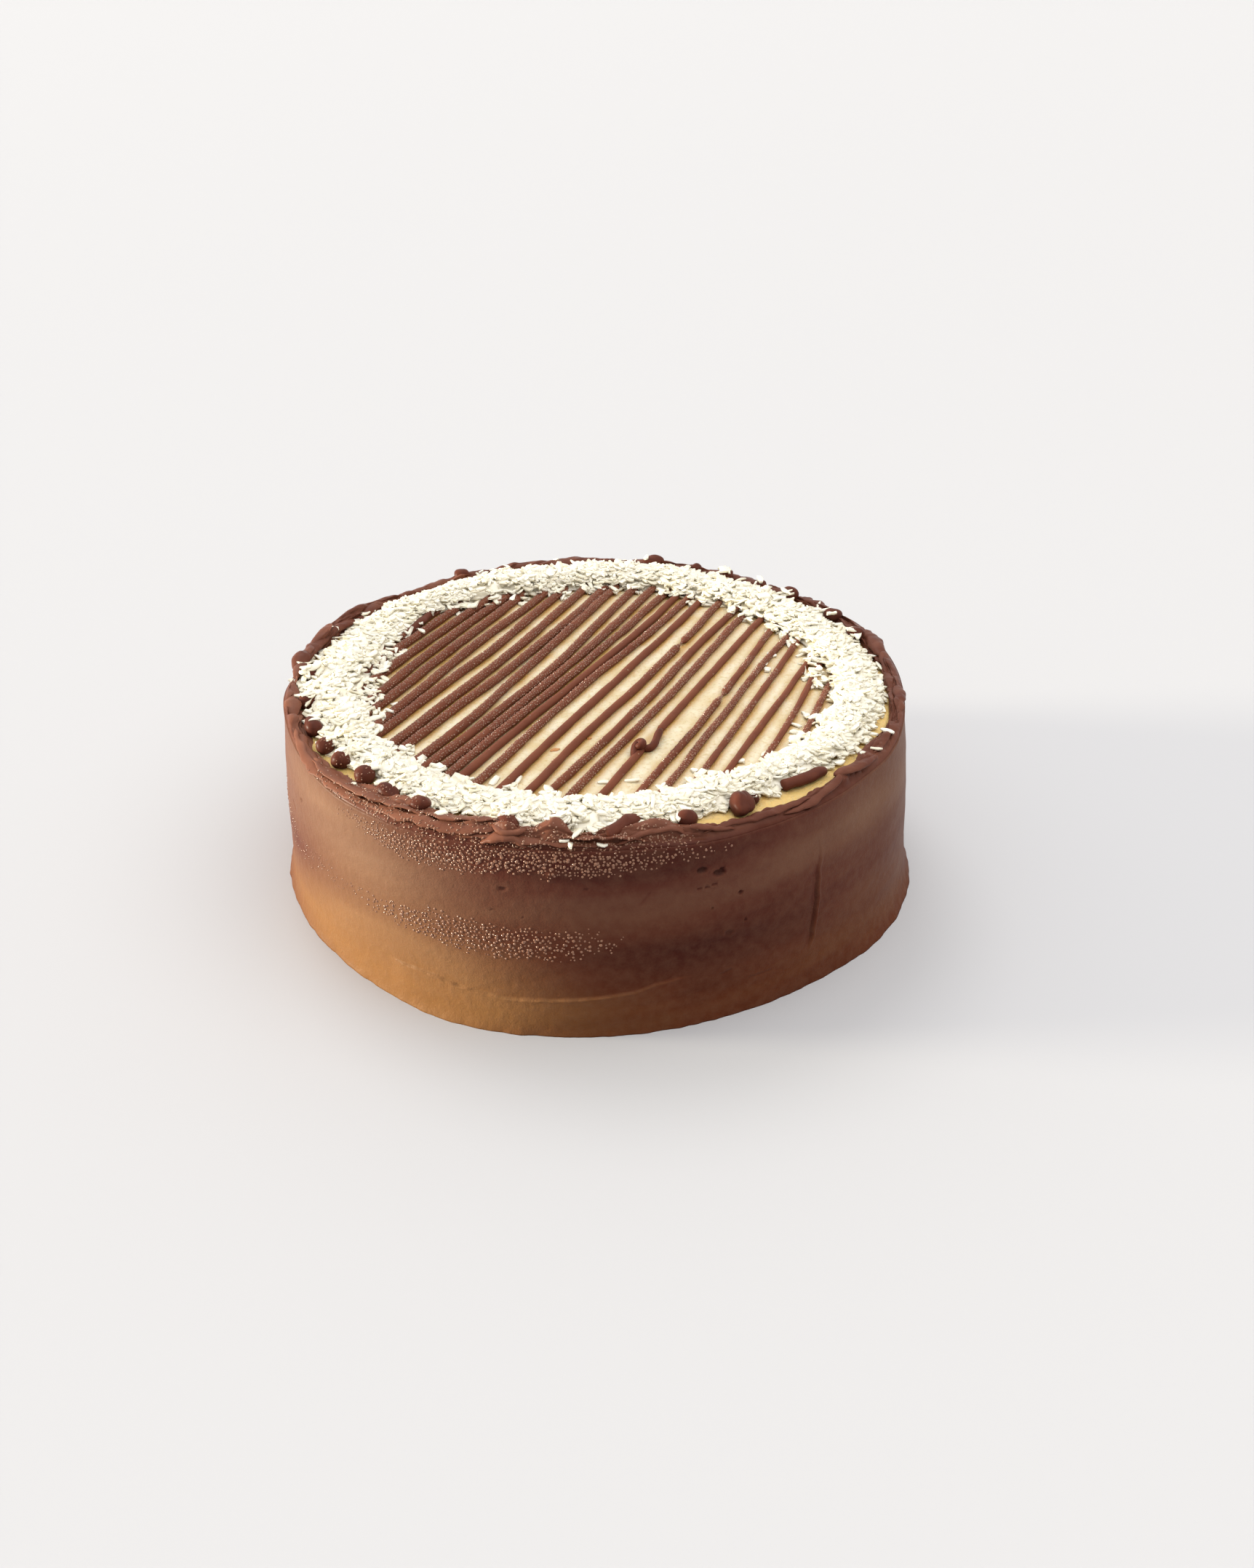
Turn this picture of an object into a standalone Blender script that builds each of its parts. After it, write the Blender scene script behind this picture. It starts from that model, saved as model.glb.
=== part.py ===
"""A whole ten-inch cheesecake, coated in chocolate cream, as three solids that do not overlap.

cheesecake      the pale disc, with the piped stripes, the drops at their ends and a few loose flakes
chocolate_coat  the spread wall round it, which flares at the foot and folds over the top as a ragged rim
coconut         the wreath of flakes that lies on the disc between the stripes and the rim

Metres, +Z up. The origin is the middle of the base, and -Y is the front. Azimuths run from +X towards +Y.
"""

import math
import random

import bmesh
import bpy
import numpy as np
from mathutils import Euler, Matrix, Vector

MM = 0.001

# The disc of cheesecake
CREAM_RADIUS = 116.5 * MM
CREAM_HEIGHT = 75 * MM
CREAM_EDGE = 3 * MM  # how far its top edge is rounded
GAP = 0.3 * MM  # between solids that rest on each other
FACETS = 96  # round the cake

# The coat: heights up its wall, then what varies round the cake as (degrees, mm)
WALL_LOW = 12 * MM
WALL_TOP = 72.7 * MM
WALL_HEIGHTS = np.array([0, 2.5, 7, 15, 32, 52, 66, 72.7]) * MM
WALL_BULGE = 0.8 * MM
FOOT_REACH = 5 * MM  # the flare at the foot dies out over this height
LOW_RADIUS = ((-170, 123.8), (-142, 123.4), (-120, 124.9), (-105, 125.6), (-87, 124.6), (-68, 123.6),
              (-48, 123.9), (-30, 125.9), (-12, 125.6), (0, 124.4), (50, 124), (90, 124.2),
              (160, 124.2))
TOP_RADIUS = ((-170, 120.8), (-160, 121.2), (-150, 122), (-136, 123.4), (-122, 123.8), (-109, 122.3),
              (-98, 121), (-83, 120.6), (-70, 122.2), (-60, 121.2), (-45, 121.3), (-36, 121),
              (-28, 122.6), (-20, 121.9), (-5, 119.8), (15, 119.6), (30, 119.6), (45, 118.8),
              (60, 119.2), (90, 119.8), (120, 120), (136, 119.4), (147, 120.9), (160, 121.6),
              (170, 120.8), (178, 118.6))
FOOT_FLARE = ((-172, 2), (-142, 1.2), (-127, 1.6), (-113, 3.2), (-100, 1.8), (-87, 1.3), (-70, 0.9),
              (-48, 0.8), (-37, 2), (-22, 3), (-10, 2.8), (0, 1.8), (60, 1.5), (130, 1.8), (165, 1.8))
CREST_HEIGHT = ((-178, 77.5), (-172, 79.5), (-165, 79.5), (-157, 77.8), (-148, 75.5), (-138, 74.3),
                (-120, 74), (-90, 74), (-40, 74.2), (-28, 75), (-18, 77.5), (-8, 78), (0, 78),
                (15, 78.2), (25, 78.4), (33, 76.6), (38, 75.4), (56, 75.4), (63, 76), (70, 77),
                (78, 78), (86, 76.4), (95, 78), (101, 77), (109, 78), (118, 76.2), (125, 75), (136, 75),
                (142, 77.8), (155, 79.3), (165, 78.8), (174, 77.6))
FOLD_HEIGHT = ((-180, 77.5), (-165, 77), (-155, 76), (-145, 75.5), (-135, 75.8), (-125, 77),
               (-112, 77.6), (-100, 78), (-80, 77.6), (-70, 76), (-60, 75.5), (-50, 75.5), (-42, 76.3),
               (-32, 75.5), (-20, 76), (-5, 77), (20, 77.5), (33, 76), (62, 76), (78, 77.5), (90, 77),
               (112, 77), (125, 75.3), (138, 75.3), (147, 77), (165, 77))
LIP_RADIUS = ((-140, 116.2), (-133, 116), (-127, 114.2), (-120, 113), (-112, 112.5), (-103, 112.5),
              (-97, 115), (-93, 115), (-86, 112), (-80, 113), (-75, 115.8), (-50, 115.6), (-44, 115.2),
              (-40, 113.6), (-35, 114.5), (-28, 113.5), (-22, 115.4), (-12, 114), (0, 113.5),
              (16, 112.8), (36, 113.4), (43, 112.8), (51, 113.8), (66, 114), (80, 113.5), (90, 114.5),
              (110, 113), (118, 113.5), (126, 115.6), (138, 115.6), (148, 114), (160, 114.5),
              (167, 116.2))
CREST_INSET = 1.4 * MM
LIP_THICKNESS = 1 * MM
CREST_WAVE = 0.5 * MM
FOLD_WAVE = 0.9 * MM
LIP_WAVE = 0.6 * MM
RAGGED_TURNS = ((11, 0.4, 0.8), (19, 2.9, 1), (31, 1.7, 0.7))  # waves round the cake, phase, share

# The stripes: piped lines along one direction, each by its distance from the middle line at five stations
STRIPE_DIRECTION = math.radians(62)
STRIPE_RADII = ((0, 1.9), (8, 1.8), (12, 1.6), (16, 1.55), (20, 1.3), (24, 1.2))  # (stripe, mm)
STRIPE_RISE = 0.7  # its axis above the disc over its radius
STATIONS = np.array([-85, -50, 0, 50, 85]) * MM
STRIPES = np.array([
    (-82, -83, -84.3, -85.5, -87), (-74, -75.8, -77.3, -78, -79.5), (-65, -67.5, -71.2, -72.3, -74),
    (-60, -61.5, -64.5, -67.2, -70), (-51.5, -54, -58.2, -59, -61), (-48, -49, -49.3, -52.7, -55.5),
    (-39, -39.7, -41, -44.5, -47.5), (-34, -34.2, -34, -36.5, -40), (-24.3, -24.5, -28.5, -32.5, -35.5),
    (-19, -18.5, -18.8, -24.3, -27.5), (-13.5, -13.8, -14.5, -16.7, -20), (-9, -9.5, -9.5, -11.3, -13),
    (-4.2, -5, -4.7, -4.7, -7.3), (3, 0.3, -0.9, -0.1, -1.8), (12.3, 10, 8.3, 6.5, 4.5),
    (22.2, 18.8, 18.3, 16, 12.3), (28.5, 27.8, 26.3, 22.2, 21.5), (36, 34.5, 32.5, 29, 26.8),
    (46, 43, 40, 37, 34.8), (56.5, 54.5, 51.8, 45.8, 42), (64, 61.3, 57, 52.7, 51),
    (72, 69.2, 64.7, 59.5, 54.5), (79, 77, 73, 68.8, 66), (89, 87, 82, 73.7, 70), (96, 94, 89.5, 81, 76),
]) * MM
STRIPE_POINTS = 8
STRIPE_END = 0.9 * MM  # how far a stripe stops short of the coconut
BREAKS = {15: (40, 46), 19: (7.5, 9.5)}  # stripe: (from, to) along it, in mm, where the line tore
KNOT = (18, -38.5)  # stripe and place along it, in mm, where the line curled up
KNOT_RADIUS = 3.4 * MM

# The drops where the piping turned, on the disc and stuck to the rim:
# (degrees, mm out, half length and half width in mm, degrees turned)
DROPS = ((180, 112.2, 3.1, 3.1, 0), (-168, 111.8, 3.2, 3.2, 0), (-157, 112.4, 4.4, 3.2, 90),
         (-149, 112.6, 3.1, 3.1, 0), (-142.6, 112.5, 3.2, 3.2, 0), (-135, 112, 3.4, 3.4, 0),
         (-95.3, 110.9, 3.4, 3.4, 0), (-73.3, 112.4, 3.2, 3.2, 0), (-62.2, 110.8, 5.1, 4.3, 0),
         (-48.4, 110.5, 9, 2.8, 90))
RIM_DROPS = ((-128, 113.6, 4.6, 2.8, 80), (-120.4, 114, 3.6, 3.4, 90), (-103.8, 113.8, 4.2, 3.4, 60),
             (-84.4, 113.5, 6.6, 3, 135), (18.5, 112.6, 3.4, 3.4, 0), (29, 113.4, 3.5, 3.5, 0),
             (42.5, 112.6, 3.7, 3.7, 0), (51, 114, 2.5, 2.5, 0), (60, 113.6, 3.3, 3.3, 0),
             (68, 116.5, 2.5, 2.5, 0), (78, 115.8, 4.8, 3.4, 90), (122, 116.8, 3, 3, 0))
DROP_FLATNESS = 0.95  # its half height over its half width
RIM_DROP_FLATNESS = 0.75
DROP_SUNK = 0.85  # its centre above the disc over its half height

# The coconut
COCONUT_INNER = ((-170, 92), (-140, 92.5), (-120, 95.5), (-95, 92.5), (-60, 91), (-30, 92), (0, 92.5),
                 (20, 89.5), (45, 89), (75, 91), (100, 91), (130, 95), (145, 95.5), (160, 93))
COCONUT_OUTER = ((-170, 112), (-140, 111), (-118, 110.5), (-98, 113.5), (-88, 113.5), (-76, 111),
                 (-65, 107.5), (-30, 110), (0, 112), (30, 111), (90, 113), (120, 112), (150, 111.5))
COCONUT_HEIGHT = 3.8 * MM
COCONUT_SHAPE = ((0.06, 0.3), (0.24, 0.82), (0.5, 1), (0.76, 0.86), (0.94, 0.36))  # shares (across, up)
LUMP = 0.5 * MM
FLAKE_COUNT = 120
FLAKE_LENGTH = (3.4 * MM, 6 * MM)
FLAKE_WIDTH = (1.3 * MM, 1.9 * MM)
FLAKE_THICKNESS = 0.8 * MM
FLAKE_TILT = 42  # degrees at most
LOOSE_TILT = 9
FLAKE_LIFT = 0.9 * MM  # its middle above the wreath's bare top
LOOSE_FLAKES = ((83, 6), (75, -38), (68, 12.5), (17, 73), (36, -73), (4.5, -81), (-34.5, -79.5),
                (-76, -22.5))


def around(azimuth, keys, soften=4.0):
    """The metres at an azimuth: straight runs between (degrees, mm) keys, averaged over a few degrees."""
    degrees, values = zip(*sorted(keys))
    spread = np.linspace(-soften, soften, 9)
    runs = [np.interp(np.degrees(azimuth) + step, degrees, values, period=360) for step in spread]
    return np.mean(runs, axis=0) * MM


def ragged(azimuth, phase):
    """Uneven waves round the cake, about -1 to 1, for an edge spread by hand."""
    waves = [share * math.sin(turns * azimuth + start + phase) for turns, start, share in RAGGED_TURNS]
    return sum(waves) / 1.8


def at(azimuth, radius, height=0.0):
    return Vector((radius * math.cos(azimuth), radius * math.sin(azimuth), height))


def material(name, colour, roughness):
    made = bpy.data.materials.new(name)
    made.use_nodes = True
    shader = made.node_tree.nodes["Principled BSDF"]
    shader.inputs["Base Color"].default_value = (*colour, 1)
    shader.inputs["Roughness"].default_value = roughness
    made.diffuse_color = (*colour, 1)
    return made


def collect(name):
    collection = bpy.data.collections.new(name)
    bpy.context.scene.collection.children.link(collection)
    return collection


def add_mesh(name, shape, collection):
    """A bmesh or a mesh as a new object in the collection."""
    mesh = shape
    if isinstance(shape, bmesh.types.BMesh):
        mesh = bpy.data.meshes.new(name)
        shape.to_mesh(mesh)
        shape.free()
    piece = bpy.data.objects.new(name, mesh)
    collection.objects.link(piece)
    return piece


def evaluated_mesh(piece):
    bpy.context.view_layer.update()
    return bpy.data.meshes.new_from_object(piece.evaluated_get(bpy.context.evaluated_depsgraph_get()))


def loft_ring(name, section, collection):
    """A closed ring: section(azimuth) gives its outline there as (radius, height) points."""
    shape = bmesh.new()
    outlines = []
    for azimuth in np.arange(FACETS) * 2 * math.pi / FACETS:
        outlines.append([shape.verts.new(at(azimuth, *point)) for point in section(azimuth)])
    for here, there in zip(outlines, outlines[1:] + outlines[:1]):
        for i in range(len(here)):
            shape.faces.new((here[i - 1], there[i - 1], there[i], here[i]))
    bmesh.ops.recalc_face_normals(shape, faces=shape.faces)
    return add_mesh(name, shape, collection)


def largest_shell(mesh):
    """Drops what a union leaves besides the outer skin: loose scraps and the walls of sealed hollows."""
    shape = bmesh.new()
    shape.from_mesh(mesh)
    bmesh.ops.triangulate(shape, faces=shape.faces)
    left = set(shape.verts)
    shells = []
    while left:
        shell, edge = set(), [left.pop()]
        while edge:
            vertex = edge.pop()
            shell.add(vertex)
            found = {other.other_vert(vertex) for other in vertex.link_edges} & left
            left -= found
            edge.extend(found)
        shells.append(shell)
    shells.sort(key=len)
    scraps = set().union(*shells[:-1])
    bmesh.ops.delete(shape, geom=list(scraps), context="VERTS")
    shape.to_mesh(mesh)
    shape.free()


def combine(body, pieces, operation):
    """Joins a collection's objects to the body, or cuts them from it, in one Boolean, and removes them."""
    boolean = body.modifiers.new("combine", "BOOLEAN")
    boolean.operation = operation
    boolean.operand_type = "COLLECTION"
    boolean.collection = pieces
    boolean.solver = "EXACT"
    combined = evaluated_mesh(body)
    body.modifiers.clear()
    body.data = combined
    largest_shell(combined)
    for piece in list(pieces.objects):
        bpy.data.objects.remove(piece)
    bpy.data.collections.remove(pieces)


def finish(piece, name, surface):
    piece.name = name
    piece.data.materials.clear()
    piece.data.materials.append(surface)
    piece.data.shade_smooth()
    piece.data.set_sharp_from_angle(angle=math.radians(40))


# ---------------------------------------------------------------- the drops of piped chocolate

def lip_radius(azimuth):
    """Where the rim ends inwards: wavy, and never past the disc's side."""
    wavy = float(around(azimuth, LIP_RADIUS)) + LIP_WAVE * ragged(azimuth, 4)
    return min(wavy, CREAM_RADIUS - GAP)


def drop_sizes():
    """Each drop on the disc as (place, half sizes, turn), always clear of the rim's lip."""
    sizes = []
    for degrees, out, long, wide, turned in DROPS:
        azimuth = math.radians(degrees)
        lip = min(lip_radius(azimuth + math.radians(aside)) for aside in (-3, -1.5, 0, 1.5, 3))
        outwards = (wide if turned else long) * MM
        half = (long * MM, wide * MM, DROP_FLATNESS * wide * MM)
        place = at(azimuth, min(out * MM, lip - outwards - 2 * GAP), CREAM_HEIGHT + DROP_SUNK * half[2])
        sizes.append((place, half, azimuth + math.radians(turned)))
    return sizes


def rim_drop_sizes():
    """Each drop stuck to the rim, two gaps above the disc."""
    sizes = []
    for degrees, out, long, wide, turned in RIM_DROPS:
        azimuth = math.radians(degrees)
        half = (long * MM, wide * MM, RIM_DROP_FLATNESS * wide * MM)
        place = at(azimuth, out * MM, CREAM_HEIGHT + 2 * GAP + half[2])
        sizes.append((place, half, azimuth + math.radians(turned)))
    return sizes


def add_drops(sizes, pieces, grown=0.0):
    """Spheres stretched to the given half sizes, each grown by the same amount all round."""
    for number, (place, half, turn) in enumerate(sizes):
        shape = bmesh.new()
        sides, bands = (10, 6) if max(half) > 1.3 * min(half) else (8, 5)
        bmesh.ops.create_uvsphere(shape, u_segments=sides, v_segments=bands, radius=1)
        bmesh.ops.scale(shape, vec=[size + grown for size in half], verts=shape.verts)
        placed = Matrix.Translation(place) @ Matrix.Rotation(turn, 4, "Z")
        bmesh.ops.transform(shape, matrix=placed, verts=shape.verts)
        add_mesh(f"drop {number}", shape, pieces)


# ---------------------------------------------------------------- the chocolate coat

def wall_radius(azimuth, height):
    """The wall leans in from the low radius to the top one, with a slight belly and a flared foot."""
    share = (height - WALL_LOW) / (WALL_TOP - WALL_LOW)
    lean = around(azimuth, LOW_RADIUS) * (1 - share) + around(azimuth, TOP_RADIUS) * share
    belly = WALL_BULGE * np.sin(np.pi * np.clip(share, 0, 1))
    return lean + belly + around(azimuth, FOOT_FLARE) * np.exp(-height / FOOT_REACH)


def cream_cover(radius):
    """The height of a skin that lies one gap above the disc's flat top and round its edge."""
    past = np.clip(radius - (CREAM_RADIUS - CREAM_EDGE), 0, CREAM_EDGE + GAP)
    return CREAM_HEIGHT - CREAM_EDGE + math.sqrt((CREAM_EDGE + GAP) ** 2 - past**2)


def coat_section(azimuth):
    """Up the wall, over the crest and fold to the lip, then back under it and down the disc's side."""
    wall = [(float(wall_radius(azimuth, height)), height) for height in WALL_HEIGHTS]
    top = float(around(azimuth, TOP_RADIUS))
    crest = float(around(azimuth, CREST_HEIGHT)) + CREST_WAVE * ragged(azimuth, 0)
    fold = float(around(azimuth, FOLD_HEIGHT)) + FOLD_WAVE * ragged(azimuth, 2)
    lip = lip_radius(azimuth)
    lip_height = cream_cover(lip)
    fold = max(fold, lip_height + 1.2 * LIP_THICKNESS)
    ridge = top - CREST_INSET
    across = ridge - lip
    rim = [
        (top - 0.3 * MM, crest - 0.6 * MM),
        (ridge, crest),
        (ridge - 0.3 * across, 0.4 * crest + 0.6 * fold),
        (ridge - 0.62 * across, fold),
        (lip + LIP_THICKNESS / 2, lip_height + LIP_THICKNESS),
        (lip, lip_height),
    ]
    side = CREAM_RADIUS + GAP
    corner = max(lip + 0.2 * MM, CREAM_RADIUS - CREAM_EDGE)
    middle = corner + 0.72 * (side - corner)
    under = [(corner, cream_cover(corner)), (middle, cream_cover(middle)),
             (side, CREAM_HEIGHT - CREAM_EDGE), (side, 0)]
    return wall + rim + under


def make_coat(collection, chocolate):
    coat = loft_ring("chocolate_coat", coat_section, collection)
    drops = collect("drops on the rim")
    add_drops(rim_drop_sizes(), drops)
    combine(coat, drops, "UNION")
    finish(coat, "chocolate_coat", chocolate)
    return coat


# ---------------------------------------------------------------- the wreath's outline

def wreath_inner(azimuth):
    return around(azimuth, COCONUT_INNER)


def wreath_outer(azimuth):
    return min(around(azimuth, COCONUT_OUTER), lip_radius(azimuth) - 3 * GAP)


# ---------------------------------------------------------------- the cheesecake

def stripe_radius(number):
    """The lines on the left were piped thicker than those on the right."""
    return float(np.interp(number, *zip(*STRIPE_RADII))) * MM


def stripe_plan(number, along):
    """The point of a stripe at a distance along it, read between the stations with soft corners."""
    spread = np.linspace(-14, 14, 7) * MM
    offset = np.mean(np.interp(along + spread, STATIONS, STRIPES[number]))
    cosine, sine = math.cos(STRIPE_DIRECTION), math.sin(STRIPE_DIRECTION)
    height = CREAM_HEIGHT + STRIPE_RISE * stripe_radius(number)
    return Vector((offset * sine + along * cosine, -offset * cosine + along * sine, height))


def stripe_runs(number):
    """The stretches of a stripe that lie inside the wreath, cut where the line tore."""
    stations = np.linspace(-100, 100, 401) * MM
    inside = []
    for along in stations:
        place = stripe_plan(number, along)
        limit = wreath_inner(math.atan2(place.y, place.x)) - STRIPE_END - stripe_radius(number) / 2
        inside.append(place.xy.length < limit)
    kept = stations[np.array(inside)]
    if not len(kept) or kept[-1] - kept[0] < 20 * MM:
        return []
    ends = [kept[0], kept[-1]]
    if number in BREAKS:
        ends[1:1] = [edge * MM for edge in BREAKS[number]]
    return list(zip(ends[::2], ends[1::2]))


def add_stripe(name, number, start, end, pieces):
    """A round piped line: a bevelled curve with filled caps, made a mesh."""
    curve = bpy.data.curves.new(name, "CURVE")
    curve.dimensions = "3D"
    curve.bevel_depth = stripe_radius(number)
    curve.bevel_resolution = 2
    curve.use_fill_caps = True
    spline = curve.splines.new("POLY")
    stations = np.linspace(start, end, max(3, round(STRIPE_POINTS * (end - start) / (180 * MM)) + 1))
    spline.points.add(len(stations) - 1)
    for point, along in zip(spline.points, stations):
        point.co = (*stripe_plan(number, along), 1)
    guide = bpy.data.objects.new(name, curve)
    pieces.objects.link(guide)
    shape = bmesh.new()
    shape.from_mesh(evaluated_mesh(guide))
    bpy.data.objects.remove(guide)
    bmesh.ops.remove_doubles(shape, verts=shape.verts, dist=0.001 * MM)
    return add_mesh(name, shape, pieces)


def flake(length, width, place, turn):
    """A strip of coconut, as the matrix that shapes a unit cube."""
    size = Matrix.Diagonal((length, width, FLAKE_THICKNESS, 1))
    return Matrix.Translation(place) @ Euler(turn).to_matrix().to_4x4() @ size


def add_flake(name, matrix, pieces):
    shape = bmesh.new()
    bmesh.ops.create_cube(shape, size=1, matrix=matrix)
    return add_mesh(name, shape, pieces)


def add_loose_flakes(pieces):
    draw = random.Random(4)
    for number, (x, y) in enumerate(LOOSE_FLAKES):
        place = Vector((x, y, 0)) * MM + Vector((0, 0, CREAM_HEIGHT + 0.3 * MM))
        tilts = [math.radians(draw.uniform(-LOOSE_TILT, LOOSE_TILT)) for _ in range(2)]
        turn = (*tilts, draw.uniform(0, math.pi))
        length = draw.uniform(*FLAKE_LENGTH)
        add_flake(f"loose flake {number}", flake(length, 1.4 * FLAKE_WIDTH[1], place, turn), pieces)


def make_cheesecake(collection, cream):
    bpy.ops.mesh.primitive_cylinder_add(vertices=FACETS, radius=CREAM_RADIUS, depth=CREAM_HEIGHT,
                                        location=(0, 0, CREAM_HEIGHT / 2))
    disc = bpy.context.object
    for owner in disc.users_collection:
        owner.objects.unlink(disc)
    collection.objects.link(disc)
    disc.data.transform(disc.matrix_world)
    disc.matrix_world = Matrix.Identity(4)
    weights = disc.data.attributes.new("bevel_weight_edge", "FLOAT", "EDGE")
    for edge in disc.data.edges:
        ends = [disc.data.vertices[corner].co.z for corner in edge.vertices]
        weights.data[edge.index].value = float(min(ends) > CREAM_HEIGHT / 2)
    rounding = disc.modifiers.new("rounded top edge", "BEVEL")
    rounding.limit_method = "WEIGHT"
    rounding.width = CREAM_EDGE
    rounding.segments = 3
    disc.data = evaluated_mesh(disc)
    disc.modifiers.clear()

    piping = collect("piping and loose flakes")
    for number in range(len(STRIPES)):
        for run, (start, end) in enumerate(stripe_runs(number)):
            add_stripe(f"stripe {number} {run}", number, start, end, piping)
    knot = stripe_plan(KNOT[0], KNOT[1] * MM) + Vector((0, 0, 0.6 * MM))
    knot_half = (KNOT_RADIUS, 0.8 * KNOT_RADIUS, 0.8 * KNOT_RADIUS)
    add_drops([(knot, knot_half, STRIPE_DIRECTION), *drop_sizes()], piping)
    add_loose_flakes(piping)
    combine(disc, piping, "UNION")
    finish(disc, "cheesecake", cream)
    return disc


# ---------------------------------------------------------------- the coconut

def coconut_section(azimuth):
    """A low arch between the wreath's two edges, its top lumpy by sums of waves round the cake."""
    inner, outer = float(wreath_inner(azimuth)), float(wreath_outer(azimuth))
    floor = CREAM_HEIGHT + GAP
    arch = []
    for number, (across, up) in enumerate(COCONUT_SHAPE):
        waves = math.sin(31 * azimuth + 2.1 * number) + math.sin(47 * azimuth - 1.3 * number)
        arch.append((inner + across * (outer - inner), floor + up * (COCONUT_HEIGHT + LUMP * waves)))
    return [(outer, floor), *reversed(arch), (inner, floor)]


def flake_fits(matrix):
    """Whether a strip keeps off the disc, the stripes' ends and the rim."""
    for corner in ((x, y, z) for x in (-0.5, 0.5) for y in (-0.5, 0.5) for z in (-0.5, 0.5)):
        place = matrix @ Vector(corner)
        azimuth = math.atan2(place.y, place.x)
        if place.z < CREAM_HEIGHT + 2 * GAP:
            return False
        if not wreath_inner(azimuth) - 0.2 * MM < place.xy.length < wreath_outer(azimuth) + 0.3 * MM:
            return False
    return True


def add_flakes(pieces):
    """Strips sown evenly over the wreath by the golden angle, each turned and tilted by a seeded draw."""
    draw = random.Random(11)
    golden = math.pi * (3 - math.sqrt(5))
    made = tried = 0
    while made < FLAKE_COUNT and tried < 4 * FLAKE_COUNT:
        tried += 1
        azimuth = (tried * golden) % (2 * math.pi)
        inner, outer = float(wreath_inner(azimuth)), float(wreath_outer(azimuth))
        share = draw.uniform(0.04, 0.96)
        rise = np.interp(share, *zip(*((0, 0), *COCONUT_SHAPE, (1, 0)))) * COCONUT_HEIGHT
        place = at(azimuth, inner + share * (outer - inner), CREAM_HEIGHT + GAP + rise + FLAKE_LIFT)
        tilts = [math.radians(draw.uniform(-FLAKE_TILT, FLAKE_TILT)) for _ in range(2)]
        turn = (tilts[0], tilts[1], draw.uniform(0, math.pi))
        matrix = flake(draw.uniform(*FLAKE_LENGTH), draw.uniform(*FLAKE_WIDTH), place, turn)
        if flake_fits(matrix):
            add_flake(f"flake {made}", matrix, pieces)
            made += 1
    print(f"{made} flakes from {tried} tries")


def make_coconut(collection, coconut):
    wreath = loft_ring("coconut", coconut_section, collection)
    flakes = collect("flakes")
    add_flakes(flakes)
    combine(wreath, flakes, "UNION")
    hollows = collect("room for the drops")
    add_drops([*drop_sizes(), *rim_drop_sizes()], hollows, 1.5 * GAP)
    combine(wreath, hollows, "DIFFERENCE")
    finish(wreath, "coconut", coconut)
    return wreath


def main():
    for old in list(bpy.data.objects):
        bpy.data.objects.remove(old)
    collection = collect("cheesecake")
    chocolate = material("chocolate", (0.14, 0.052, 0.03), 0.45)
    cream = material("cream", (0.83, 0.66, 0.33), 0.55)
    coconut = material("coconut", (0.86, 0.83, 0.7), 0.7)
    made = (make_cheesecake(collection, cream), make_coat(collection, chocolate),
            make_coconut(collection, coconut))
    for piece in made:
        print(piece.name, len(piece.data.polygons), "triangles")


main()
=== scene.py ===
# %% [markdown]
# # A cheesecake with piped stripes and coconut
#
# The cake is a pale disc of baked cream cheese inside a thick spread of chocolate cream. Thin stripes of
# chocolate cream are piped across its top, and a wreath of coconut flakes covers their ends. The solids of
# the cake come first, because every surface below has to lie where they are.

import math

import bpy
import numpy as np
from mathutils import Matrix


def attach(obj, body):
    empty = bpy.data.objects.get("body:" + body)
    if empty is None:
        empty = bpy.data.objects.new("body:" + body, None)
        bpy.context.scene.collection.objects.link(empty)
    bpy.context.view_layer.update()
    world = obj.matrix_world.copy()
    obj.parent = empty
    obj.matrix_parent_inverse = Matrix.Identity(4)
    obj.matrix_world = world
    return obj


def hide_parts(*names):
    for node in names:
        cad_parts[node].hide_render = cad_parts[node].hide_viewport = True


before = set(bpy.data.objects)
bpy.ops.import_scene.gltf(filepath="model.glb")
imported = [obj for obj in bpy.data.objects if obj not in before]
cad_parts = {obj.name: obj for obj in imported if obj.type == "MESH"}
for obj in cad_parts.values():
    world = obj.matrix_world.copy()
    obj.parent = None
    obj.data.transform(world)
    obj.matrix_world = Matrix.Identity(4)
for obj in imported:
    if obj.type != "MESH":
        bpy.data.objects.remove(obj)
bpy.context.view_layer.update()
MM = 0.001

# %% [markdown]
# ## The camera
#
# The camera stands in front of the cake and looks down on it at about 31 degrees. Its place and its 35 mm
# lens were fitted to the outlines of the cake, so the cake fills the same part of the frame as it should.

# %% Camera
camera = bpy.data.objects.new("camera", bpy.data.cameras.new("camera"))
bpy.context.scene.collection.objects.link(camera)
camera.location = (0.01228, -0.53814, 0.34650)
camera.rotation_euler = (math.radians(59.314), 0, 0)
camera.data.lens = 35
camera.data.sensor_width = 36
camera.data.clip_start = 0.01
bpy.context.scene.camera = camera
print("camera at", np.round(camera.location, 3).tolist(), "with a lens of", round(camera.data.lens), "mm")

# %% [markdown]
# ## The studio
#
# A plain pale floor runs past the edge of the picture. The light is soft: the surround is a studio whose far
# side and ceiling are white and whose near side is dim, which keeps the front of the dark wall deep. A wide
# sun from the far left shapes the top, a second one from above the camera fills it, and a low warm one on the
# left gives the satin wall its broad glow. Lamps of finite size would do too, but a sun's light is the same
# all over the cake. The Standard view keeps the colours as the materials state them.

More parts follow.
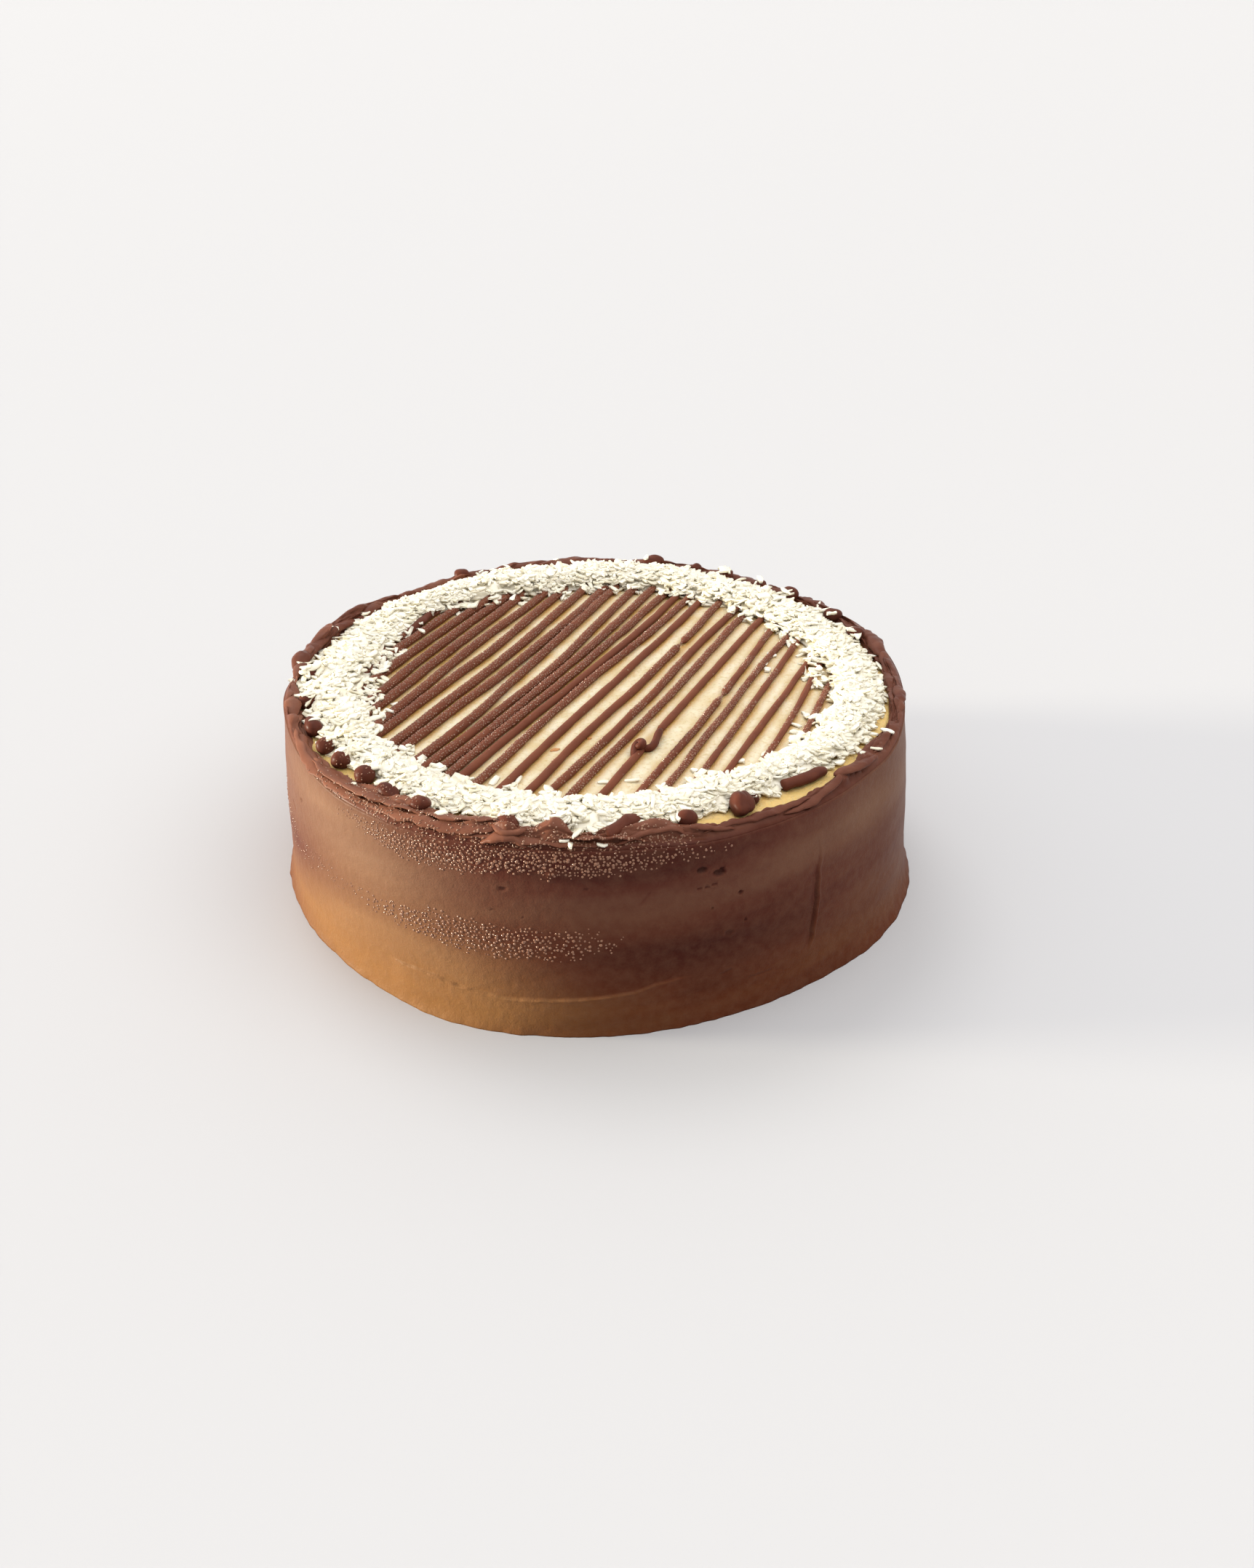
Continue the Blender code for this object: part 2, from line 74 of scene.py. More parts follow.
# %% Floor and light
FLOOR_HALF = 12.0
TOWARDS_WHITE = (0, 0.75, 0.65)
DIM_FROM, WHITE_FROM = -0.6, 0.55
DIM_SIDE, WHITE_SIDE = 0.25, 1.05
WARM_WHITE = (1.0, 0.98, 0.95)
SUN_DISTANCE = 2.0
floor_mesh = bpy.data.meshes.new("floor")
floor_mesh.from_pydata([(-FLOOR_HALF, -FLOOR_HALF, 0), (FLOOR_HALF, -FLOOR_HALF, 0),
                        (FLOOR_HALF, FLOOR_HALF, 0), (-FLOOR_HALF, FLOOR_HALF, 0)], [], [(0, 1, 2, 3)])
floor = bpy.data.objects.new("floor", floor_mesh)
bpy.context.scene.collection.objects.link(floor)
floor_paint = bpy.data.materials.new("pale floor")
floor_paint.use_nodes = True
floor_shader = floor_paint.node_tree.nodes["Principled BSDF"]
floor_shader.inputs["Base Color"].default_value = (0.52, 0.52, 0.535, 1)
floor_shader.inputs["Roughness"].default_value = 0.8
floor_mesh.materials.append(floor_paint)

surround = bpy.data.worlds.new("soft white surround")
surround.use_nodes = True
sky = surround.node_tree
backdrop = sky.nodes["Background"]
backdrop.inputs["Color"].default_value = (1.0, 0.99, 0.98, 1)
towards = sky.nodes.new("ShaderNodeVectorMath")
towards.operation = "DOT_PRODUCT"
towards.inputs[1].default_value = TOWARDS_WHITE
sky.links.new(sky.nodes.new("ShaderNodeTexCoord").outputs["Generated"], towards.inputs[0])
dim_to_white = sky.nodes.new("ShaderNodeMapRange")
for label, value in {"From Min": DIM_FROM, "From Max": WHITE_FROM,
                     "To Min": DIM_SIDE, "To Max": WHITE_SIDE}.items():
    dim_to_white.inputs[label].default_value = value
sky.links.new(towards.outputs["Value"], dim_to_white.inputs["Value"])
sky.links.new(dim_to_white.outputs["Result"], backdrop.inputs["Strength"])
bpy.context.scene.world = surround


def add_sun(name, energy, azimuth, elevation, spread, colour):
    """A sun that shines on the cake from a direction round it and above the floor, as wide as its spread."""
    data = bpy.data.lights.new(name, "SUN")
    data.energy = energy
    data.color = colour
    data.angle = math.radians(spread)
    light = bpy.data.objects.new(name, data)
    bpy.context.scene.collection.objects.link(light)
    turn, rise = math.radians(azimuth), math.radians(elevation)
    flat = SUN_DISTANCE * math.cos(rise)
    light.location = (flat * math.cos(turn), flat * math.sin(turn), SUN_DISTANCE * math.sin(rise))
    light.rotation_euler = (math.radians(90) - rise, 0, turn + math.radians(90))


add_sun("wide sun", 0.7, 115, 56, 26, WARM_WHITE)
add_sun("top fill", 1.4, -35, 66, 70, WARM_WHITE)
add_sun("low left sun", 8.9, 178, 3.5, 12, (1.0, 0.93, 0.74))
bpy.context.scene.view_settings.view_transform = "Standard"

# %% [markdown]
# ## The measures of the cake
#
# The disc and the coat have the named sizes that the solids were built from. The wreath of coconut is read
# more finely here; at the back it is wider and higher than in the solids. The coat was spread by hand, so its
# foot, its wall and its rim vary round the cake. Such a size is a short table of (degrees, millimetres) pairs,
# and the value between two pairs is a straight run with soft corners.

# %% Sizes of the disc and the coat
CREAM_RADIUS = 116.5 * MM
CREAM_HEIGHT = 75 * MM
CREAM_EDGE = 3 * MM
GAP = 0.3 * MM
WALL_LOW = 12 * MM
WALL_TOP = 72.7 * MM
WALL_BULGE = 0.8 * MM
FOOT_REACH = 5 * MM
LOW_RADIUS = ((-170, 123.8), (-142, 123.4), (-120, 124.9), (-105, 125.6), (-87, 124.6), (-68, 123.6),
              (-48, 123.9), (-30, 125.9), (-12, 125.6), (0, 124.4), (50, 124), (90, 124.2), (160, 124.2))
TOP_RADIUS = ((-170, 120.8), (-160, 121.2), (-150, 122), (-136, 123.4), (-122, 123.8), (-109, 122.3),
              (-98, 121), (-83, 120.6), (-70, 122.2), (-60, 121.2), (-45, 121.3), (-36, 121), (-28, 122.6),
              (-20, 121.9), (-5, 119.8), (15, 119.6), (30, 119.6), (45, 118.8), (60, 119.2), (90, 119.8),
              (120, 120), (136, 119.4), (147, 120.9), (160, 121.6), (170, 120.8), (178, 118.6))
FOOT_FLARE = ((-172, 2), (-142, 1.2), (-127, 1.6), (-113, 3.2), (-100, 1.8), (-87, 1.3), (-70, 0.9),
              (-48, 0.8), (-37, 2), (-22, 3), (-10, 2.8), (0, 1.8), (60, 1.5), (130, 1.8), (165, 1.8))
CREST_HEIGHT = ((-178, 77.5), (-172, 79.5), (-165, 79.5), (-157, 77.8), (-148, 75.5), (-138, 74.3),
                (-120, 74), (-90, 74), (-40, 74.2), (-28, 75), (-18, 77.5), (-8, 78), (0, 78), (15, 78.2),
                (25, 78.4), (33, 76.6), (38, 75.4), (56, 75.4), (63, 76), (70, 77), (78, 78), (86, 76.4),
                (95, 78), (101, 77), (109, 78), (118, 76.2), (125, 75), (136, 75), (142, 77.8), (155, 79.3),
                (165, 78.8), (174, 77.6))
FOLD_HEIGHT = ((-180, 77.5), (-165, 77), (-155, 76), (-145, 75.5), (-135, 75.8), (-125, 77), (-112, 77.6),
               (-100, 78), (-80, 77.6), (-70, 76), (-60, 75.5), (-50, 75.5), (-42, 76.3), (-32, 75.5),
               (-20, 76), (-5, 77), (20, 77.5), (33, 76), (62, 76), (78, 77.5), (90, 77), (112, 77),
               (125, 75.3), (138, 75.3), (147, 77), (165, 77))
LIP_RADIUS = ((-140, 116.2), (-133, 116), (-127, 114.2), (-120, 113), (-112, 112.5), (-103, 112.5),
              (-97, 115), (-93, 115), (-86, 112), (-80, 113), (-75, 115.8), (-50, 115.6), (-44, 115.2),
              (-40, 113.6), (-35, 114.5), (-28, 113.5), (-22, 115.4), (-12, 114), (0, 113.5), (16, 112.8),
              (36, 113.4), (43, 112.8), (51, 113.8), (66, 114), (80, 113.5), (90, 114.5), (110, 113),
              (118, 113.5), (126, 115.6), (138, 115.6), (148, 114), (160, 114.5), (167, 116.2))
COCONUT_INNER = ((-170, 88.5), (-155, 89), (-140, 92), (-120, 95.5), (-95, 92.5), (-60, 91), (-30, 92),
                 (0, 91.5), (20, 88), (45, 86), (75, 86), (90, 84.5), (108, 82), (120, 85.5), (132, 88.5),
                 (145, 91.5), (155, 87.5), (165, 87), (178, 85.5))
COCONUT_OUTER = ((-172, 114), (-164, 111), (-155, 109.5), (-140, 109.5), (-118, 110.5), (-98, 113.5),
                 (-88, 113.5), (-78, 110.5), (-65, 106.5), (-45, 107), (-30, 109.5), (0, 111.5), (30, 109.5),
                 (45, 110), (90, 113), (120, 112), (133, 109.5), (149, 112.5), (158, 111), (164, 110),
                 (171, 114), (180, 114.5))
COCONUT_HEIGHT = ((-165, 4), (-120, 3.8), (-60, 3.8), (-10, 4), (40, 4.8), (90, 5.8), (110, 6), (140, 5),
                  (170, 4.4))
SOFTENED = 4  # degrees to each side


def around(azimuth, keys):
    """The metres at each azimuth (radians): straight runs between the pairs, averaged over a few degrees."""
    degrees, values = zip(*sorted(keys))
    spread = np.linspace(-SOFTENED, SOFTENED, 9)
    runs = [np.interp(np.degrees(azimuth) + step, degrees, values, period=360) for step in spread]
    return np.mean(runs, axis=0) * MM


def wall_radius(azimuth, height):
    """A lean from the low radius to the top one, plus a sine belly and a flare that dies out upwards."""
    share = (height - WALL_LOW) / (WALL_TOP - WALL_LOW)
    lean = around(azimuth, LOW_RADIUS) * (1 - share) + around(azimuth, TOP_RADIUS) * share
    belly = WALL_BULGE * np.sin(np.pi * np.clip(share, 0, 1))
    return lean + belly + around(azimuth, FOOT_FLARE) * np.exp(-height / FOOT_REACH)


print("coat at the front:", round(float(wall_radius(-math.pi / 2, 0.03)) / MM, 1), "mm from the middle")

# %% [markdown]
# ## Tools for surfaces
#
# Hand-made food is never even, so most shapes below are a clean formula plus smooth noise. The noise is a
# lattice of random numbers, blended between its points. A surface is a grid of points, worked out as whole
# arrays, and each square of the grid becomes a face.

# %% Noise and grids
rng = np.random.default_rng(7)


def noise(points, size, seed=0):
    """Smooth noise from -1 to 1: random values on a lattice of the given spacing, blended with soft steps."""
    where = np.asarray(points, float) / size
    cell = np.floor(where).astype(np.int64)
    part = where - cell
    part = part * part * (3 - 2 * part)
    total = np.zeros(where.shape[:-1])
    primes = (73856093, 19349663, 83492791)
    for corner in np.ndindex(*(2,) * where.shape[-1]):
        code = np.full(total.shape, 1013904223 * (seed + 1), np.int64)
        weight = np.ones(total.shape)
        for axis, step in enumerate(corner):
            code = code ^ ((cell[..., axis] + step) * primes[axis])
            weight = weight * (part[..., axis] if step else 1 - part[..., axis])
        code = (code ^ (code >> 13)) * 1274126177 & 0xFFFFFFFF
        code = (code ^ (code >> 16)) * 2246822519 & 0xFFFFFFFF
        total += weight * ((code & 0xFFFF) / 32767.5 - 1)
    return total


def layered(points, size, octaves=3, seed=0):
    """Several noises added up, each half as large and half as strong as the one before."""
    return sum(noise(points, size / 2**k, seed + k) / 2**k for k in range(octaves)) / 1.6


def round_cake(azimuth, radius, height):
    """Points from an azimuth, a distance from the cake's axis and a height."""
    azimuth, radius, height = np.broadcast_arrays(azimuth, radius, height)
    return np.stack([radius * np.cos(azimuth), radius * np.sin(azimuth), height], axis=-1)


def soft_step(value):
    """Nought up to 0, one from 1 on, and a soft S between: three squares less two cubes."""
    value = np.clip(value, 0, 1)
    return value * value * (3 - 2 * value)


def whole_turn(count):
    """Evenly spaced angles once round, from nought."""
    return np.arange(count) * 2 * np.pi / count


def unit(vectors):
    """Vectors divided by their own lengths."""
    return vectors / np.maximum(np.linalg.norm(vectors, axis=-1, keepdims=True), 1e-12)


def grid_faces(rows, columns, wrap_rows=False, wrap_columns=False):
    """The corners of each square of a grid, counted row by row, the last joined to the first if asked."""
    row = np.arange(rows if wrap_rows else rows - 1)
    column = np.arange(columns if wrap_columns else columns - 1)
    row, column = [part.ravel() for part in np.meshgrid(row, column, indexing="ij")]
    next_row, next_column = (row + 1) % rows, (column + 1) % columns
    return np.stack([row * columns + column, next_row * columns + column,
                     next_row * columns + next_column, row * columns + next_column], axis=-1)


def add_piece(name, points, faces, material, smooth=True, spread=None, tone=None):
    """A mesh from arrays of points and of faces with equal numbers of corners, riding on the cake."""
    points, faces = np.asarray(points, np.float32).reshape(-1, 3), np.asarray(faces, np.int32)
    mesh = bpy.data.meshes.new(name)
    mesh.vertices.add(len(points))
    mesh.vertices.foreach_set("co", points.ravel())
    mesh.loops.add(faces.size)
    mesh.loops.foreach_set("vertex_index", faces.ravel())
    mesh.polygons.add(len(faces))
    mesh.polygons.foreach_set("loop_start", np.arange(len(faces), dtype=np.int32) * faces.shape[1])
    mesh.update(calc_edges=True)
    place = mesh.attributes.new("spread", "FLOAT_VECTOR", "POINT")
    place.data.foreach_set("vector", np.asarray(points if spread is None else spread, np.float32).ravel())
    tone = np.full(len(points), 0.25) if tone is None else tone
    shade = mesh.attributes.new("tone", "FLOAT", "POINT")
    shade.data.foreach_set("value", np.asarray(tone, np.float32).ravel())
    if smooth:
        mesh.shade_smooth()
    mesh.materials.append(material)
    piece = bpy.data.objects.new(name, mesh)
    bpy.context.scene.collection.objects.link(piece)
    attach(piece, "root")
    print(f"{name}: {len(faces) * (faces.shape[1] - 2)} triangles")
    return piece


def joined(surfaces):
    """Several (points, faces) pairs as one pair of arrays."""
    points = [grid.reshape(-1, 3) for grid, _ in surfaces]
    starts = np.cumsum([0] + [len(part) for part in points[:-1]])
    faces = [corners + start for (_, corners), start in zip(surfaces, starts)]
    return np.concatenate(points), np.concatenate(faces)


def repeat(shape_points, shape_faces, places, turns, sizes):
    """Copies of one small shape, each sized, turned by its own matrix and put in its place, as two arrays."""
    shaped = shape_points[None] * sizes[:, None, :]
    points = np.einsum("nij,nkj->nki", turns, shaped) + places[:, None, :]
    faces = shape_faces[None] + np.arange(len(places))[:, None, None] * len(shape_points)
    return points.reshape(-1, 3), faces.reshape(-1, shape_faces.shape[1])


def frames(normal, along):
    """Rotation matrices whose third axis is the normal and whose first axis lies near the given direction."""
    normal = unit(normal)
    side = unit(np.cross(normal, along))
    return np.stack([np.cross(side, normal), side, normal], axis=-1)


print("noise at three points:", noise(np.array([[0, 0, 0], [0.3, 0, 0], [2, 1, 5]]), 1.0).round(2))

# %% [markdown]
# ## Tools for materials
#
# Every finish is a small network of nodes, and nothing in it is a picture. Two effects are needed again and
# again, so each is a node group: one gives the uneven haze that a spatula leaves, the other the fine grain
# of the paste. A group puts out only masks and heights, and each material turns them into its own colours.

# %% Helpers for nodes
def add_node(tree, kind, joins, **settings):
    """A node with its settings; each named input is joined to the socket it is given, or set to the value."""
    node = tree.nodes.new(kind)
    for label, value in settings.items():
        setattr(node, label, value)
    for label, value in joins.items():
        if isinstance(value, bpy.types.NodeSocket):
            tree.links.new(value, node.inputs[label])
        else:
            node.inputs[label].default_value = value
    return node


def new_group(name, given, made):
    """A shader node group whose inputs and outputs have names, and its own input and output sockets."""
    group = bpy.data.node_groups.new(name, "ShaderNodeTree")
    for label, (kind, usual) in given.items():
        group.interface.new_socket(label, in_out="INPUT", socket_type=kind).default_value = usual
    for label, kind in made.items():
        group.interface.new_socket(label, in_out="OUTPUT", socket_type=kind)
    return group, group.nodes.new("NodeGroupInput").outputs, group.nodes.new("NodeGroupOutput").inputs


def scaled(tree, place, size):
    """The place divided by a size, so that a pattern made from it has features of that size."""
    per_metre = add_node(tree, "ShaderNodeMath", {0: 1.0, 1: size}, operation="DIVIDE").outputs[0]
    joins = {0: place, "Scale": per_metre}
    return add_node(tree, "ShaderNodeVectorMath", joins, operation="SCALE").outputs[0]


def noise_value(tree, place, detail=2.0, rough=0.5):
    """Blender's own noise at a place, from 0 to 1."""
    return add_node(tree, "ShaderNodeTexNoise", {"Vector": place, "Scale": 1.0, "Detail": detail,
                                                 "Roughness": rough}).outputs["Fac"]


def ranged(tree, value, low, high, to_low=0.0, to_high=1.0):
    """A value carried from one range to another and stopped at its ends."""
    return add_node(tree, "ShaderNodeMapRange", {"Value": value, "From Min": low, "From Max": high,
                                                 "To Min": to_low, "To Max": to_high}).outputs["Result"]


def mixed(tree, share, first, second):
    """Two colours mixed by a share."""
    node = add_node(tree, "ShaderNodeMix", {"Factor": share}, data_type="RGBA")
    for socket, colour in zip((node.inputs[6], node.inputs[7]), (first, second)):
        if isinstance(colour, bpy.types.NodeSocket):
            tree.links.new(colour, socket)
        else:
            socket.default_value = (*colour, 1)
    return node.outputs[2]


def sum_of(tree, first, second, share):
    """The first value plus a share of the second."""
    joins = {0: second, 1: share, 2: first}
    return add_node(tree, "ShaderNodeMath", joins, operation="MULTIPLY_ADD").outputs[0]


SPREAD, spread_in, spread_out = new_group(
    "spatula haze", {"Place": ("NodeSocketVector", (0, 0, 0)), "Size": ("NodeSocketFloat", 0.014)},
    {"Haze": "NodeSocketFloat"})
long_place = add_node(SPREAD, "ShaderNodeVectorMath", {0: spread_in["Place"], 1: (0.16, 1, 1)},
                      operation="MULTIPLY").outputs[0]
broad = noise_value(SPREAD, scaled(SPREAD, long_place, spread_in["Size"]), 3, 0.45)
SPREAD.links.new(ranged(SPREAD, broad, 0.34, 0.68), spread_out["Haze"])

GRAIN, grain_in, grain_out = new_group(
    "paste grain", {"Place": ("NodeSocketVector", (0, 0, 0)), "Coarse": ("NodeSocketFloat", 0.0035),
                    "Fine": ("NodeSocketFloat", 0.0007)}, {"Height": "NodeSocketFloat"})
coarse = noise_value(GRAIN, scaled(GRAIN, grain_in["Place"], grain_in["Coarse"]))
fine = noise_value(GRAIN, scaled(GRAIN, grain_in["Place"], grain_in["Fine"]), 3, 0.6)
GRAIN.links.new(sum_of(GRAIN, coarse, fine, 0.45), grain_out["Height"])
print("node groups:", [group.name for group in bpy.data.node_groups])

# %% [markdown]
# ## The finishes
#
# Chocolate cream is satin, darker where it is dense and paler where a spatula dragged it thin. Low down it is
# painted golden as a warm reflection from below, and part of its pale on the left is painted warm light. The
# place that its pattern reads is an attribute of the mesh, "spread", which runs round the cake and up it, so
# that the haze lies in long level bands. Dew beads are the same brown, but wet. Baked cream cheese and coconut
# let light in a little way, so both get some subsurface scattering.

# %% Materials
def new_material(name, roughness=0.5):
    """A material with its tree, its shader and the Object coordinates that a pattern reads."""
    made = bpy.data.materials.new(name)
    made.use_nodes = True
    tree = made.node_tree
    shader = tree.nodes["Principled BSDF"]
    shader.inputs["Roughness"].default_value = roughness
    return made, tree, shader, add_node(tree, "ShaderNodeTexCoord", {}).outputs["Object"]


def join(tree, shader, **sockets):
    """Each socket linked to the shader's input of that name."""
    for label, socket in sockets.items():
        tree.links.new(socket, shader.inputs[label.replace("_", " ")])


def fill_group(tree, group, joins):
    """What a node group puts out in a material, with its own values."""
    return add_node(tree, "ShaderNodeGroup", joins, node_tree=group).outputs[0]


def bumped(tree, height, distance):
    """The normal of a surface raised by a height times a distance in metres."""
    return add_node(tree, "ShaderNodeBump", {"Height": height, "Distance": distance}).outputs["Normal"]


def attribute(tree, name, output):
    """What the mesh's own attribute says at a point."""
    return add_node(tree, "ShaderNodeAttribute", {}, attribute_name=name).outputs[output]


def let_light_in(shader, weight, radii, scale):
    """Subsurface scattering: its share, how far each colour travels, and the scale of that in metres."""
    shader.inputs["Subsurface Weight"].default_value = weight
    shader.inputs["Subsurface Radius"].default_value = radii
    shader.inputs["Subsurface Scale"].default_value = scale


def three_tones(tree, share, colours):
    """A run through three colours: from dark to middle over the first three tenths, then on to pale."""
    dark, middle, pale = colours
    deep = mixed(tree, ranged(tree, share, 0.0, 0.3), dark, middle)
    return mixed(tree, ranged(tree, share, 0.3, 1.0), deep, pale)


# Where the coat takes its golden colours: a painted warm reflection from below
GOLDEN_REFLECTION_BELOW = (0.055, 0.008)  # metres up: none above the first, all below the second
# Near-black colour painted into pits and scratches as shade
PAINTED_PIT_SHADE = (0.012, 0.004, 0.003)


def chocolate_finish(name, high, low, rough, band, bump):
    """Satin chocolate cream: a haze from dark to pale, more golden low down as painted warm reflection from
    below.
    """
    made, tree, shader, place = new_material(name)
    patchy = fill_group(tree, SPREAD, {"Place": attribute(tree, "spread", "Vector"), "Size": band})
    dragged = attribute(tree, "tone", "Fac")
    haze = ranged(tree, sum_of(tree, dragged, patchy, 0.24), 0.1, 1.1)
    grain = fill_group(tree, GRAIN, {"Place": place})
    height = add_node(tree, "ShaderNodeSeparateXYZ", {0: place}).outputs["Z"]
    # Low down the colours turn golden: painted warm reflection from below
    tint = mixed(tree, ranged(tree, height, *GOLDEN_REFLECTION_BELOW), three_tones(tree, haze, high),
                 three_tones(tree, haze, low))
    speckle = ranged(tree, grain, 0.55, 0.95, 0.0, 0.15)
    # In pits, scratches and the seam's trough the colour goes nearly black: painted shade
    painted_shade_in_pits = ranged(tree, dragged, 0.0, -1.0)
    shaded = mixed(tree, painted_shade_in_pits, mixed(tree, speckle, tint, high[2]), PAINTED_PIT_SHADE)
    join(tree, shader, Base_Color=shaded, Roughness=ranged(tree, haze, 0, 1, *rough),
         Normal=bumped(tree, grain, bump))
    shader.inputs["Specular IOR Level"].default_value = 0.06
    let_light_in(shader, 0.08, (1.0, 0.45, 0.25), 0.0012)
    return made


# Each run of colours from dark to pale: high on the coat, low on it with painted warm reflection, its folded
# rim, and the piped lines
HIGH_COAT = ((0.050, 0.0105, 0.0075), (0.094, 0.0265, 0.0165), (0.222, 0.119, 0.070))
LOW_COAT_WARM_REFLECTION = ((0.052, 0.0100, 0.0045), (0.102, 0.026, 0.0090), (0.240, 0.110, 0.038))
FOLDED = ((0.052, 0.0125, 0.0085), (0.090, 0.027, 0.0175), (0.205, 0.082, 0.049))
PIPED = ((0.066, 0.018, 0.012), (0.108, 0.031, 0.018), (0.195, 0.064, 0.033))
WALL_CHOCOLATE = chocolate_finish("spread chocolate", HIGH_COAT, LOW_COAT_WARM_REFLECTION, (0.40, 0.48), 0.02, 0.0003)
RIM_CHOCOLATE = chocolate_finish("folded chocolate", FOLDED, FOLDED, (0.28, 0.40), 0.008, 0.0001)
PIPED_CHOCOLATE = chocolate_finish("piped chocolate", PIPED, PIPED, (0.38, 0.5), 0.01, 0.00008)


def dew_finish():
    """Small wet beads: a paler brown with a tight highlight."""
    made, tree, shader, place = new_material("dew beads", 0.16)
    shade = noise_value(tree, scaled(tree, place, 0.004))
    join(tree, shader, Base_Color=mixed(tree, shade, (0.15, 0.057, 0.029), (0.31, 0.14, 0.074)))
    shader.inputs["Specular IOR Level"].default_value = 0.8
    return made


CREAM_PALE, CREAM_DULL = (0.83, 0.80, 0.65), (0.70, 0.60, 0.39)
# The brown beside the stripes is mostly their painted shadow on the cream, over a little soaked-in fat
CREAM_SHADOW_AND_STAIN, CREAM_PORE = (0.46, 0.215, 0.035), (0.57, 0.42, 0.19)
CREAM_LOW, CREAM_BROWNED = (0.60, 0.42, 0.15), (0.68, 0.47, 0.16)


def cream_finish():
    """Baked cream cheese: pale yellow, a little browner in its pores and at its edge, and brown beside the
    stripes with their painted shadow over a little soaked-in fat.
    """
    made, tree, shader, place = new_material("baked cream cheese", 0.5)
    grain = fill_group(tree, GRAIN, {"Place": place, "Coarse": 0.0016, "Fine": 0.0005})
    cloud = ranged(tree, noise_value(tree, scaled(tree, place, 0.012), 3), 0.34, 0.57)
    height = add_node(tree, "ShaderNodeSeparateXYZ", {0: place}).outputs["Z"]
    lower = ranged(tree, height, 0.0735, 0.0755, 1.0, 0.0)
    clean = mixed(tree, cloud, CREAM_DULL, CREAM_PALE)
    # Beside the stripes the cream turns brown: painted shadow of the stripes over a little soaked-in fat
    tint = mixed(tree, attribute(tree, "tone", "Fac"), clean, CREAM_SHADOW_AND_STAIN)
    edge = mixed(tree, lower, tint, CREAM_LOW)
    pores = ranged(tree, grain, 0.70, 0.48, 0.0, 0.75)
    flat = add_node(tree, "ShaderNodeVectorMath", {0: place, 1: (1, 1, 0)}, operation="MULTIPLY").outputs[0]
    out = add_node(tree, "ShaderNodeVectorMath", {0: flat}, operation="LENGTH").outputs["Value"]
    browned = mixed(tree, ranged(tree, out, 0.1055, 0.1115), edge, CREAM_BROWNED)
    join(tree, shader, Base_Color=mixed(tree, pores, browned, CREAM_PORE), Normal=bumped(tree, grain, 0.0005))
    let_light_in(shader, 0.35, (1.0, 0.7, 0.35), 0.0012)
    return made


def coconut_finish():
    """Dried coconut: warm white, each flake with its own tone, and a faint grain."""
    made, tree, shader, place = new_material("dried coconut", 0.55)
    grain = fill_group(tree, GRAIN, {"Place": place, "Coarse": 0.0012, "Fine": 0.0004})
    tint = mixed(tree, attribute(tree, "tone", "Fac"), (0.84, 0.775, 0.60), (0.94, 0.89, 0.76))
    join(tree, shader, Base_Color=tint, Normal=bumped(tree, grain, 0.00006))
    shader.inputs["Specular IOR Level"].default_value = 0.3
    let_light_in(shader, 0.3, (1.0, 1.0, 1.0), 0.001)
    return made


DEW = dew_finish()
CREAM = cream_finish()
COCONUT = coconut_finish()
print("materials:", [made.name for made in bpy.data.materials if made.use_nodes])

# %% [markdown]
# ## The disc of cheesecake
#
# The disc is one profile turned round the axis: over the flat top, round its edge, down its side and back
# under it. Only the top shows, and there the paste was levelled by hand, so its height wanders a little.

# %% The disc
DISC_ROUND = 560
TOP_RINGS, SIDE_RINGS = 129, 12
MIDDLE = 0.4 * MM
DISC_WAVE = 0.16 * MM


def disc_profile():
    """Distance and height along a half section: flat top, a quarter circle for the edge, side and base."""
    flat = CREAM_RADIUS - CREAM_EDGE
    bend = np.linspace(np.pi / 2, 0, 9)
    radius = np.concatenate([np.linspace(MIDDLE, flat, TOP_RINGS + 1)[:-1], flat + CREAM_EDGE * np.cos(bend),
                             np.full(SIDE_RINGS, CREAM_RADIUS),
                             np.linspace(CREAM_RADIUS - 2 * MM, MIDDLE, SIDE_RINGS)])
    height = np.concatenate([np.full(TOP_RINGS, CREAM_HEIGHT), CREAM_HEIGHT + CREAM_EDGE * (np.sin(bend) - 1),
                             np.linspace(CREAM_HEIGHT - CREAM_EDGE, 0, SIDE_RINGS + 1)[1:],
                             np.zeros(SIDE_RINGS)])
    return radius, height


def make_disc():
    """The profile at every azimuth, its top lifted by low noise."""
    radius, height = disc_profile()
    points = round_cake(whole_turn(DISC_ROUND)[:, None], radius[None], height[None])
    top = np.clip((points[..., 2] - 0.07) / 0.005, 0, 1)
    points[..., 2] += top * (DISC_WAVE * layered(points, 0.012, 3, 3) - 0.1 * MM)
    faces = grid_faces(DISC_ROUND, len(radius), wrap_rows=True)
    return points, faces[:, ::-1]


disc_points, disc_faces = make_disc()
disc = add_piece("cream_disc", disc_points, disc_faces, CREAM, tone=np.zeros(disc_points.shape[:2]))
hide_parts("cheesecake")

# %% [markdown]
# ## The piped stripes
#
# Each stripe was piped in one pull, so it is a round line carried along a path. The table gives each path's
# distance from the middle line at five stations, and the path bends softly between them. A pull is never
# quite even: the radius swells and thins a little and the line wavers. Their ends run on under the coconut.
# The last two paths are short lines at the right and the left edge, which the solids leave out.

# %% Sizes of the stripes
STRIPE_DIRECTION = math.radians(62)
